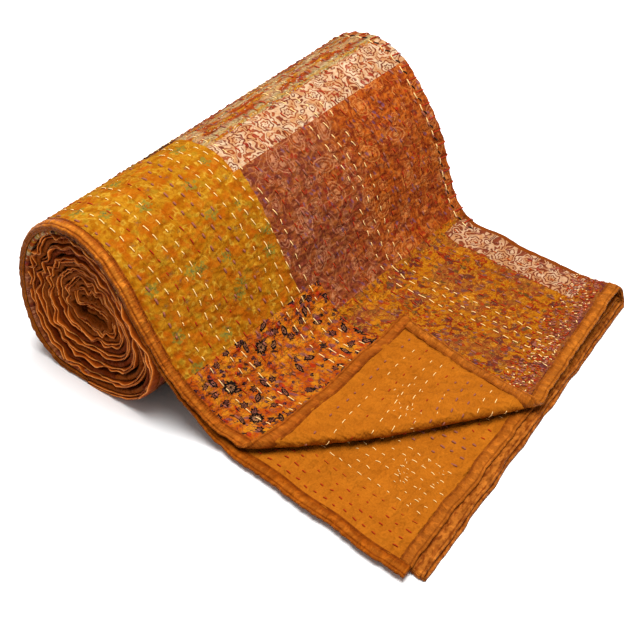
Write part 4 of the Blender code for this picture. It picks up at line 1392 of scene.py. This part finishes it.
def flower_material():
    g = Graph("patch_flower")
    soft = g.noise(g.mm, 11.0, 3.0, 0.6)
    colour = g.ramp(soft, ((0.32, srgb(186, 70, 20)), (0.47, srgb(212, 106, 22)), (0.62, srgb(230, 146, 34))))
    red = g.flecks(8.0, 1.3, 0.36, 3.0)
    colour = g.mix(g.math("MULTIPLY", red, 0.85), colour, srgb(196, 48, 22))
    lilac = g.flecks(6.4, 1.7, 0.34, 5.0, 0.8)
    colour = g.mix(g.math("MULTIPLY", lilac, 0.70), colour, srgb(126, 80, 96))
    # Thin stems, dark and lilac
    stem = g.noise(g.mm, 9.0, 1.0)
    colour = g.mix(g.math("MULTIPLY", g.band(stem, 0.490, 0.512, 0.006), 0.75), colour, srgb(74, 50, 44))
    stem = g.noise(g.vector("ADD", g.mm, (90.0, 40.0, 0.0)), 6.0, 1.0)
    colour = g.mix(g.math("MULTIPLY", g.band(stem, 0.488, 0.516, 0.008), 0.55), colour, srgb(128, 70, 76))
    ink, pale = srgb(20, 15, 17), srgb(178, 128, 92)
    for size, seed, petals, reach, share, squash, depth, spin, fill in (
        (11.0, 9.0, 5.0, 0.165, 0.42, 1.2, 0.18, False, srgb(120, 76, 96)),
        (25.0, 4.0, 2.0, 0.205, 0.70, 2.15, 0.16, True, srgb(150, 104, 84)),
        (17.0, 6.0, 6.0, 0.205, 0.50, 1.25, 0.20, False, srgb(150, 92, 80)),
        (44.0, 1.0, 11.0, 0.150, 0.70, 1.20, 0.12, False, pale),
    ):
        inside, ring, dot, tone = g.motif(size, seed, petals, reach, share, squash, depth, spin)
        colour = g.mix(g.math("MULTIPLY", inside, 0.75), colour, fill)
        sketchy = g.step(g.noise(g.mm, 1.7, 1.0), 0.36 if size < 40 else 0.30, 0.06)
        colour = g.mix(g.math("MULTIPLY", g.math("MAXIMUM", ring, dot), sketchy), colour, ink)
    leafy = g.flecks(5.0, 2.2, 0.18, 12.0, 0.9)
    colour = g.mix(g.math("MULTIPLY", leafy, 0.9), colour, srgb(46, 34, 32))
    return g.finish(colour, g.quilting())


def swirl_material():
    g = Graph("patch_swirl")
    u, v, _ = g.split(g.mm)
    far = g.math("ADD", g.step(u, 258.0, 50.0), g.math("MULTIPLY", g.math("SUBTRACT", g.noise(g.mm, 34.0, 2.0), 0.5), 1.7), clamp=True)
    ground = g.mix(far, srgb(180, 100, 44), srgb(212, 106, 30))
    soft = g.noise(g.warped(7.0, 7.0), 7.0, 3.0, 0.6)
    ground = g.mix(g.step(soft, 0.50, 0.07), ground, g.mix(far, srgb(142, 68, 42), srgb(158, 66, 24)))
    streak = g.noise(g.vector("MULTIPLY", g.mm, (1.0, 0.14, 0.0)), 2.3, 2.0, 0.6)
    ground = g.mix(g.math("MULTIPLY", g.math("MULTIPLY", g.step(streak, 0.52, 0.06), far), 0.66), ground, srgb(132, 44, 22))
    purple = g.flecks(6.6, 1.6, 0.46, 2.0, 0.7)
    colour = g.mix(g.math("MULTIPLY", purple, 0.48), ground, srgb(116, 66, 76))
    red = g.flecks(6.0, 1.3, 0.44, 4.0, 0.2)
    colour = g.mix(g.math("MULTIPLY", red, 0.80), colour, srgb(180, 44, 24))
    # Outlines of curling leaves: level lines of a folded-over field, broken up
    field = g.noise(g.warped(17.0, 20.0), 17.0, 0.6)
    rings = g.math("PINGPONG", g.math("MULTIPLY", field, 6.0), 0.5)
    line = g.math("SUBTRACT", 1.0, g.step(rings, 0.080, 0.05))
    colour = g.mix(g.math("MULTIPLY", g.step(rings, 0.30, 0.06), 0.40), colour, g.mix(far, srgb(128, 50, 42), srgb(150, 54, 24)))
    broken = g.step(g.noise(g.mm, 3.4, 2.0), 0.40, 0.10)
    curl = g.math("SUBTRACT", 0.80, g.math("MULTIPLY", far, 0.34))
    colour = g.mix(g.math("MULTIPLY", g.math("MULTIPLY", line, broken), curl), colour, g.mix(far, srgb(202, 130, 88), srgb(222, 138, 66)))
    for size, seed, reach, share, squash in ((34.0, 3.0, 0.33, 0.80, 1.7), (19.0, 8.0, 0.30, 0.55, 1.5)):
        inside, ring, dot, tone = g.motif(size, seed, 1.0, reach, share, squash, 0.30, True)
        colour = g.mix(g.math("MULTIPLY", inside, 0.30), colour, g.mix(far, srgb(150, 70, 44), srgb(196, 92, 34)))
        colour = g.mix(g.math("MULTIPLY", g.math("MAXIMUM", g.outline, dot), 0.86), colour, g.mix(far, srgb(218, 150, 108), srgb(236, 152, 80)))
    fine = g.noise(g.warped(5.0, 4.0), 4.2, 1.0)
    colour = g.mix(g.math("MULTIPLY", g.band(fine, 0.470, 0.525, 0.016), 0.44), colour, g.mix(far, srgb(178, 100, 66), srgb(214, 122, 50)))
    orange = g.flecks(4.6, 1.1, 0.46, 7.0)
    colour = g.mix(g.math("MULTIPLY", g.math("MULTIPLY", orange, far), 0.75), colour, srgb(212, 108, 30))
    lilac = g.flecks(4.0, 1.9, 0.22, 9.0, 0.4)
    colour = g.mix(g.math("MULTIPLY", lilac, 0.60), colour, srgb(134, 92, 120))
    return g.finish(colour, g.quilting(0.72, 0.56, 5.4, 1.2))


def mottle_material():
    g = Graph("patch_mottle")
    soft = g.noise(g.warped(9.0, 9.0), 11.5, 2.5, 0.60)
    plum, red, gold, rust, olive = srgb(112, 58, 46), srgb(160, 56, 22), srgb(202, 124, 20), srgb(182, 82, 20), srgb(122, 84, 36)
    colour = g.ramp(soft, (
        (0.00, plum), (0.385, plum), (0.40, red), (0.445, red), (0.46, gold), (0.53, gold), (0.55, rust), (0.615, rust), (0.63, olive), (1.0, olive),
    ))
    broad = g.noise(g.mm, 30.0, 2.0)
    colour = g.mix(g.math("MULTIPLY", g.step(broad, 0.52, 0.08), 0.42), colour, srgb(214, 130, 20))
    deep = g.noise(g.vector("ADD", g.mm, (300.0, 50.0, 0.0)), 34.0, 2.0)
    colour = g.mix(g.math("MULTIPLY", g.step(deep, 0.53, 0.06), 0.45), colour, srgb(128, 62, 52))
    for size, long, share, seed, turn, amount, tint in (
        (8.0, 1.3, 0.36, 1.0, 0.4, 0.70, srgb(118, 68, 68)),
        (8.0, 1.2, 0.36, 3.0, 1.0, 0.80, srgb(188, 62, 22)),
        (5.0, 1.5, 0.18, 5.0, 0.1, 0.70, srgb(104, 84, 42)),
        (8.6, 1.1, 0.34, 7.0, 0.9, 0.85, srgb(216, 132, 24)),
        (3.8, 1.6, 0.20, 9.0, 0.5, 0.70, srgb(132, 88, 104)),
    ):
        mark = g.flecks(size, long, share, seed, turn)
        colour = g.mix(g.math("MULTIPLY", mark, amount), colour, tint)
    lines = g.noise(g.warped(6.0, 6.0), 5.2, 1.0)
    colour = g.mix(g.math("MULTIPLY", g.band(lines, 0.475, 0.510, 0.014), 0.50), colour, srgb(112, 54, 30))
    colour = g.mix(g.math("MULTIPLY", g.band(lines, 0.560, 0.590, 0.012), 0.55), colour, srgb(232, 172, 66))
    u, v, _ = g.split(g.mm)
    ending = g.step(g.math("ADD", v, g.math("MULTIPLY", u, 0.16)), 390.0, 18.0)
    colour = g.mix(g.math("MULTIPLY", ending, 0.50), colour, srgb(112, 48, 62))
    return g.finish(colour, g.quilting())


def brocade_material():
    g = Graph("patch_brocade", roughness=0.6, specular=0.12)
    ground = g.mix(g.step(g.noise(g.mm, 9.0, 2.0), 0.5, 0.16), srgb(226, 162, 108), srgb(250, 216, 178))
    ink = g.mix(g.step(g.noise(g.mm, 12.0, 1.0), 0.5, 0.12), srgb(124, 30, 14), srgb(178, 76, 30))
    second = g.step(g.split(g.mm)[1], 150.0, 20.0)
    ground = g.mix(g.math("MULTIPLY", second, 0.34), ground, srgb(198, 132, 84))
    ink = g.mix(g.math("MULTIPLY", second, 0.60), ink, srgb(112, 26, 10))
    # Round flowers with rings, in a row, and scrolls between them
    node = g.cells(g.mm, 29.0, randomness=0.45)
    local = g.vector("SCALE", g.vector("SUBTRACT", g.mm, node.outputs["Position"]), scale=1.0 / 29.0)
    lx, ly, _ = g.split(local)
    angle = g.math("ARCTAN2", ly, lx)
    radius = g.math("SQRT", g.math("ADD", g.math("MULTIPLY", lx, lx), g.math("MULTIPLY", ly, ly)))
    petals = g.math("MULTIPLY", g.math("SINE", g.math("MULTIPLY", angle, 7.0)), 0.022)
    ragged = g.math("MULTIPLY", g.math("SUBTRACT", g.noise(g.mm, 3.0, 1.0), 0.5), 0.09)
    r = g.math("ADD", g.math("ADD", radius, petals), ragged)
    rings = g.math("PINGPONG", g.math("MULTIPLY", r, 8.6), 0.5)
    flower = g.math("SUBTRACT", 1.0, g.step(r, 0.32, 0.02))
    ringed = g.math("MULTIPLY", g.math("SUBTRACT", 1.0, g.step(rings, 0.185, 0.06)), flower)
    field = g.noise(g.warped(8.0, 9.0), 9.0, 0.6)
    scroll = g.math("PINGPONG", g.math("MULTIPLY", field, 6.6), 0.5)
    scroll = g.math("SUBTRACT", scroll, g.math("MULTIPLY", second, 0.055))
    scroll = g.math("MULTIPLY", g.math("SUBTRACT", 1.0, g.step(scroll, 0.19, 0.07)), g.math("SUBTRACT", 1.0, flower))
    lines = g.math("MAXIMUM", ringed, scroll)
    thread = g.step(g.noise(g.mm, 1.5, 1.0), 0.28, 0.10)
    colour = g.mix(g.math("MULTIPLY", g.math("MULTIPLY", lines, 0.92), thread), ground, ink)
    red = g.flecks(6.0, 1.2, 0.20, 3.0)
    colour = g.mix(g.math("MULTIPLY", red, 0.8), colour, srgb(176, 40, 26))
    return g.finish(colour, [(lines, -0.30, 0.0), (g.noise(g.mm, 4.0, 2.0), 2.4, 0.35)])


def stripe_material():
    g = Graph("patch_stripe")
    u, v, _ = g.split(g.warped(13.0, 11.0))
    t = g.math("MULTIPLY", g.math("FRACT", g.math("DIVIDE", g.math("ADD", v, 202.0), 50.0)), 1.0)
    o, r, y, k, c = srgb(206, 106, 30), srgb(172, 66, 28), srgb(212, 150, 44), srgb(158, 104, 92), srgb(196, 172, 122)
    colour = g.ramp(t, (
        (0.0, y), (0.10, o), (0.20, r), (0.26, k), (0.32, y), (0.38, o), (0.46, c), (0.52, o), (0.60, r), (0.66, y), (0.72, o), (0.80, r), (0.88, c), (0.93, y), (0.97, c), (0.99, o),
    ))
    for size, long, share, seed, turn, amount, tint in (
        (6.5, 0.9, 0.44, 17.0, 0.6, 0.85, srgb(206, 110, 40)),
        (5.0, 0.7, 0.44, 2.0, 1.5, 0.80, srgb(184, 62, 28)),
        (4.2, 0.5, 0.50, 5.0, 0.1, 0.85, srgb(240, 218, 176)),
        (5.5, 0.8, 0.36, 23.0, 0.3, 0.80, srgb(196, 82, 34)),
        (4.6, 0.7, 0.30, 8.0, 0.3, 0.75, srgb(128, 120, 58)),
        (4.2, 0.6, 0.22, 11.0, 0.3, 0.70, srgb(128, 88, 124)),
        (3.2, 0.8, 0.30, 14.0, 0.9, 0.80, srgb(96, 48, 30)),
    ):
        colour = g.mix(g.math("MULTIPLY", g.flecks(size, long, share, seed, turn), amount), colour, tint)
    pale = g.step(g.noise(g.vector("MULTIPLY", g.mm, (0.45, 1.0, 0.0)), 13.0, 2.0), 0.55, 0.05)
    colour = g.mix(g.math("MULTIPLY", pale, 0.55), colour, srgb(222, 192, 140))
    scroll = g.noise(g.warped(5.0, 5.0), 4.4, 1.0)
    colour = g.mix(g.math("MULTIPLY", g.band(scroll, 0.468, 0.518, 0.016), 0.60), colour, srgb(128, 58, 34))
    return g.finish(colour, g.quilting())


def dark_material():
    g = Graph("patch_dark")
    soft = g.noise(g.mm, 5.0, 3.0, 0.6)
    colour = g.ramp(soft, ((0.36, srgb(52, 34, 30)), (0.50, srgb(96, 52, 34)), (0.62, srgb(150, 84, 36))))
    gold = g.flecks(4.4, 1.2, 0.42, 2.0)
    colour = g.mix(g.math("MULTIPLY", gold, 0.8), colour, srgb(196, 142, 62))
    red = g.flecks(4.8, 1.1, 0.26, 5.0)
    colour = g.mix(g.math("MULTIPLY", red, 0.8), colour, srgb(158, 42, 28))
    return g.finish(colour, g.quilting())


def plain_material(name, low, high, sheen=0.06, quilted=True, roughness=0.8, specular=0.06):
    g = Graph(name, roughness=roughness, sheen=sheen, specular=specular)
    slub = g.noise(g.vector("MULTIPLY", g.mm, (1.0, 0.12, 0.0)), 1.4, 2.0)
    cloud = g.noise(g.mm, 22.0, 3.0, 0.55)
    colour = g.mix(g.math("ADD", g.math("MULTIPLY", slub, 0.35), g.math("MULTIPLY", cloud, 0.65)), low, high)
    ripple = g.noise(g.vector("MULTIPLY", g.mm, (0.7, 1.0, 0.0)), 8.5, 2.0)
    bumps = [(ripple, 9.0, 0.42)]
    if quilted:
        bumps.append((g.noise(g.mm, 3.0, 1.5), 1.8, 0.26))
    return g.finish(colour, bumps)


def binding_material(name, low, high, inside, painted_shine=0.75, lower=False):
    """Satin-like strip folded over an edge. Its map has the length along x and the distance from the edge along y."""
    g = Graph(name, roughness=0.48, sheen=0.02, specular=0.12)
    u, v, _ = g.split(g.mm)
    slub = g.noise(g.vector("MULTIPLY", g.mm, (0.15, 1.0, 0.0)), 1.2, 2.0)
    pull = g.noise(g.vector("MULTIPLY", g.warped(9.0, 5.0), (0.55, 0.30, 0.0)), 2.6, 2.0, 0.6)
    cloud = g.noise(g.mm, 16.0, 3.0, 0.6)
    colour = g.mix(g.math("ADD", g.math("MULTIPLY", slub, 0.30), g.math("MULTIPLY", cloud, 0.70)), low, high)
    pleat = g.noise(g.vector("MULTIPLY", g.mm, (1.0, 0.16, 0.0)), 1.5, 1.5)
    # From the other face's half of the map back to a distance from the edge
    edge = g.math("MINIMUM", v, g.math("SUBTRACT", 30.0, v))
    if inside:
        # Painted shade deeper into the gaps between the rolled turns, and a painted highlight on the rims, patchy along
        # them; the lift passed to finish brightens the rims more and the whole band a little.
        deep = g.step(edge, 1.8, 1.3)
        colour = g.mix(g.math("MULTIPLY", deep, 0.72), colour, srgb(124, 26, 2))
        rim = g.math("SUBTRACT", 1.0, g.step(edge, 0.70, 0.5))
        patchy = g.step(g.noise(g.vector("MULTIPLY", g.mm, (1.0, 0.0, 0.0)), 14.0, 2.0), 0.44, 0.14)
        patchy_painted_light = g.math("MULTIPLY", rim, g.math("ADD", g.math("MULTIPLY", patchy, 0.55), 0.45))
        colour = g.mix(g.math("MULTIPLY", patchy_painted_light, 0.90), colour, srgb(255, 178, 96))
        folds = g.noise(g.vector("MULTIPLY", g.mm, (1.0, 0.25, 0.0)), 4.0, 2.0)
        return g.finish(colour, [(pull, 1.6, 0.35), (folds, 1.6, 0.50)], g.math("ADD", g.math("MULTIPLY", patchy_painted_light, 0.68), 0.14))
    # Painted shade on the underside, which also gets less of the painted shine below, and on the ends' lower layers
    under = g.step(v, 15.0, 0.4)
    colour = g.mix(g.math("MULTIPLY", under, 0.42), colour, srgb(172, 90, 24))
    if lower:
        # Painted shade, spotted, on the stretch of the ends' band that lies on the lower plies.
        lower_plies_painted_shade = g.band(u, 398.0, 815.0, 4.0)
        spots = g.step(g.noise(g.mm, 3.2, 2.0), 0.48, 0.08)
        tint = g.mix(spots, srgb(132, 56, 12), srgb(196, 112, 40))
        colour = g.mix(g.math("MULTIPLY", lower_plies_painted_shade, 0.80), colour, tint)
    # Painted highlight along the band's crown and beside its rim, fading along the band and on the underside.
    crown = g.band(edge, 3.4, 7.2, 1.3)
    bead = g.band(edge, 0.5, 1.9, 0.5)
    shine = g.math("MULTIPLY", g.math("MAXIMUM", crown, g.math("MULTIPLY", bead, 0.7)), g.step(g.noise(g.vector("MULTIPLY", g.mm, (0.3, 1.0, 0.0)), 5.0, 2.0), 0.42, 0.16))
    fade = g.math("SUBTRACT", painted_shine, g.math("MULTIPLY", g.step(u, 90.0, 60.0), 0.60 * painted_shine))
    fade = g.math("MULTIPLY", fade, g.math("SUBTRACT", 1.0, g.math("MULTIPLY", under, 0.5)))
    colour = g.mix(g.math("MULTIPLY", shine, fade), colour, srgb(240, 148, 48))
    # Painted shade in the stitched groove and in the hollow at the seam beside the patchwork, patchy along the band.
    groove = g.band(edge, 2.0, 3.0, 0.5)
    seam = g.band(edge, 9.8, 12.2, 0.8)
    patchy_painted_light = g.math("ADD", g.math("MULTIPLY", g.step(g.noise(g.mm, 7.0, 1.0), 0.5, 0.14), 0.6), 0.4)
    dark = g.math("MAXIMUM", g.math("MULTIPLY", groove, 0.55), g.math("MULTIPLY", seam, 0.60))
    colour = g.mix(g.math("MULTIPLY", dark, patchy_painted_light), colour, srgb(104, 32, 2))
    # Painted glints on the raised pulls, outside the painted shade of the groove and seam.
    painted_glint = g.math("MULTIPLY", g.step(pull, 0.56, 0.08), g.math("SUBTRACT", 1.0, dark))
    return g.finish(colour, [(pull, 4.4, 0.62), (groove, -0.4, 0.0), (cloud, 2.0, 0.40), (pleat, 1.2, 0.30)], g.math("MULTIPLY", painted_glint, 0.22))


def thread_material(name, tint):
    g = Graph(name, roughness=0.60, sheen=0.05, specular=0.2)
    ply = g.math("SINE", g.math("MULTIPLY", g.split(g.mm)[0], 9.0))
    colour = g.mix(g.math("ADD", g.math("MULTIPLY", ply, 0.20), 0.35), tint, tuple(c * 0.78 for c in tint[:3]) + (1.0,))
    g.tree.links.new(colour, g.shader.inputs["Base Color"])
    bump = g.tree.nodes.new("ShaderNodeBump")
    bump.inputs["Distance"].default_value = 0.0002
    bump.inputs["Strength"].default_value = 0.5
    g.tree.links.new(ply, bump.inputs["Height"])
    g.tree.links.new(bump.outputs[0], g.shader.inputs["Normal"])
    return g.material


MATERIALS = {
    "leaf": leaf_material(),
    "flower": flower_material(),
    "swirl": swirl_material(),
    "mottle": mottle_material(),
    "brocade": brocade_material(),
    "stripe": stripe_material(),
    "dark": dark_material(),
    "plain": plain_material("patch_plain", srgb(132, 56, 12), srgb(176, 90, 26)),
    # Deep red cloth, used only as painted shade in the gaps of the roll's end.
    "red": plain_material("patch_red_painted_shade", srgb(92, 22, 4), srgb(158, 66, 14)),
    "backing": plain_material("backing", srgb(194, 106, 20), srgb(222, 134, 36), sheen=0.02, roughness=0.72),
    "binding": binding_material("binding", srgb(150, 66, 12), srgb(202, 108, 26), False, painted_shine=0.85),
    # B1's band: a darker copy of the binding, painted shade for the band lying under the top one.
    "binding_second": binding_material("binding_second", srgb(138, 54, 2), srgb(194, 102, 16), False, painted_shine=0.60),
    # The ends' band, with painted shade on its lower plies' stretch.
    "binding_ends": binding_material("binding_ends", srgb(164, 78, 12), srgb(216, 128, 38), False, painted_shine=0.60, lower=True),
    # The roll's end: a brighter copy of the binding, with painted highlights on the rims and painted shade between the
    # turns.
    "binding_inside": binding_material("binding_inside", srgb(230, 104, 20), srgb(255, 144, 46), True),
}
BACKING = len(PATCHES)
THREADS = {
    "w": ("white", thread_material("thread_white", srgb(240, 202, 138))),
    "r": ("red", thread_material("thread_red", srgb(160, 46, 20))),
    "p": ("purple", thread_material("thread_purple", srgb(146, 86, 70))),
    "o": ("orange", thread_material("thread_orange", srgb(170, 74, 22))),
    "k": ("black", thread_material("thread_black", srgb(34, 26, 26))),
    "t": ("tan", thread_material("thread_tan", srgb(124, 58, 12))),
}


def cloth_slots(made):
    for name in PATCHES:
        made.data.materials.append(MATERIALS[name])
    made.data.materials.append(MATERIALS["backing"])


# ---------------------------------------------------------------- making the pieces
front, back, uv, patch = build_face()
face = thick_sheet("quilt_face", front, back, uv, patch, np.full(patch.shape, BACKING))
cloth_slots(face)

front, back, uv = build_under()
at = (uv[:-1, :-1] + uv[1:, 1:]) / 2
lower_patches = (np.floor(at[..., 1] / 0.13 + 40).astype(int) * 3 + np.floor(at[..., 0] / 0.15).astype(int)) % 7
near_fold = at[..., 0] < 0.012
lower_patches[near_fold & (at[..., 1] < -0.095)] = PATCHES.index("swirl")
lower_patches[near_fold & (at[..., 1] >= -0.095)] = PATCHES.index("stripe")
lower_patches[near_fold & (at[..., 1] >= -0.030)] = PATCHES.index("dark")
lower_patches[near_fold & (at[..., 1] >= 0.150)] = PATCHES.index("swirl")
under = thick_sheet("quilt_under", front, back, uv, lower_patches, np.full(lower_patches.shape, BACKING))
cloth_slots(under)

coarse, fine_line = winding(0.0031), winding(0.0016)
front, back, uv = build_turns(coarse)
at = (uv[:-1, :-1] + uv[1:, 1:]) / 2
turn_patches = np.array([PATCHES.index(n) for n in ("dark", "swirl", "dark", "mottle", "swirl", "mottle", "dark")])[
    (np.floor(at[..., 1] / 0.14).astype(int) * 5 + np.floor(at[..., 0] / 0.16).astype(int) * 2) % 7
]
# The near fold deep in the roll's end gets dark red and dark plain cloth: painted shade for the gaps between the turns.
near_fold = np.abs(at[..., 0] - 0.755) < 0.035
turn_patches[near_fold] = PATCHES.index("red")
turn_patches[near_fold & (np.mod(at[..., 1], 0.23) < 0.085)] = PATCHES.index("plain")
turn_patches[near_fold & (at[..., 1] > 4.22)] = PATCHES.index("plain")
turns = thick_sheet("quilt_turns", front, back, uv, turn_patches, np.full(turn_patches.shape, BACKING))
cloth_slots(turns)


def band_object(name, parts, material="binding"):
    points, faces, uvs = parts
    made = make_object(name, points, faces, uvs, np.zeros(len(faces)))
    made.data.materials.append(MATERIALS[material])
    return made


turn_bands = band_object("binding_turns", build_turn_bands(fine_line), "binding_inside")
long_band = band_object("binding_long", build_edge_band("A1", V_START))
second_band = band_object("binding_second", build_edge_band("B1", V_START), "binding_second")
end_band = band_object("binding_ends", build_end_band(), "binding_ends")


def thread_object(name, key, runs, radius):
    points, faces = threads(runs, radius)
    place_of = np.zeros((len(points), 2))
    place_of[:, 0] = np.linalg.norm(points, axis=1)
    made = make_object(name, points, faces, place_of, np.zeros(len(faces)))
    made.data.materials.append(THREADS[key][1])
    return made


rng = np.random.default_rng(7)
stitches = []
for key in "wrpo":
    runs = face_runs(key, rng) + turned_runs(key, rng) + second_runs(key, rng) + end_runs(key, rng) + scattered_runs(key, rng) + loose_runs(key, rng)
    stitches.append(thread_object("stitches_" + THREADS[key][0], key, runs, {"w": 0.00042, "p": 0.00082}.get(key, 0.00050)))
for key in "wkr":
    stitches.append(thread_object("edge_stitches_" + THREADS[key][0], key, bold_runs(key, rng), 0.00050 if key != "r" else 0.00058))
topstitch = thread_object("topstitches", "t", topstitch_runs(rng), 0.00022)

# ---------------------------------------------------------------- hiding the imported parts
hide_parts("quilt")
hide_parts("binding_top")
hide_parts("binding_under")
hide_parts("binding_end")


# ---------------------------------------------------------------- floor, light and camera
def floor():
    mesh = bpy.data.meshes.new("floor")
    mesh.from_pydata([(-6, -6, 0), (6, -6, 0), (6, 6, 0), (-6, 6, 0)], [], [(0, 1, 2, 3)])
    made = bpy.data.objects.new("floor", mesh)
    bpy.context.scene.collection.objects.link(made)
    paint = bpy.data.materials.new("floor")
    paint.use_nodes = True
    shader = paint.node_tree.nodes["Principled BSDF"]
    shader.inputs["Base Color"].default_value = (0.90, 0.90, 0.90, 1)
    shader.inputs["Roughness"].default_value = 0.9
    mesh.materials.append(paint)


def light(name, place_at, target, size, power, tint=(1, 1, 1)):
    data = bpy.data.lights.new(name, "AREA")
    data.shape = "DISK"
    data.size = size
    data.energy = power
    data.color = tint
    made = bpy.data.objects.new(name, data)
    made.location = place_at
    direction = np.array(target, float) - np.array(place_at, float)
    from mathutils import Vector

    made.rotation_euler = Vector(direction).to_track_quat("-Z", "Y").to_euler()
    bpy.context.scene.collection.objects.link(made)


floor()
bpy.context.scene.view_settings.view_transform = "Standard"
bpy.context.scene.view_settings.gamma = 0.94
world = bpy.data.worlds.new("studio")
world.use_nodes = True
world.node_tree.nodes["Background"].inputs[0].default_value = (1.0, 1.0, 1.0, 1.0)
world.node_tree.nodes["Background"].inputs[1].default_value = 0.44
bpy.context.scene.world = world
light("key", (0.06, -0.10, 2.1), (0, -0.05, 0.05), 2.0, 91)

camera = bpy.data.cameras.new("camera")
camera.sensor_width = 36.0
camera.lens = 112.5
camera.clip_start, camera.clip_end = 0.05, 20.0
eye = bpy.data.objects.new("camera", camera)
eye.location = (-0.9866, -0.8140, 1.0924)
eye.rotation_euler = (math.radians(90 - 39.889), 0.0, math.radians(-48.91))
bpy.context.scene.collection.objects.link(eye)
bpy.context.scene.camera = eye

for piece in [face, under, turns, turn_bands, long_band, second_band, end_band, topstitch] + stitches:
    print(piece.name, "triangles", sum(len(p.vertices) - 2 for p in piece.data.polygons))
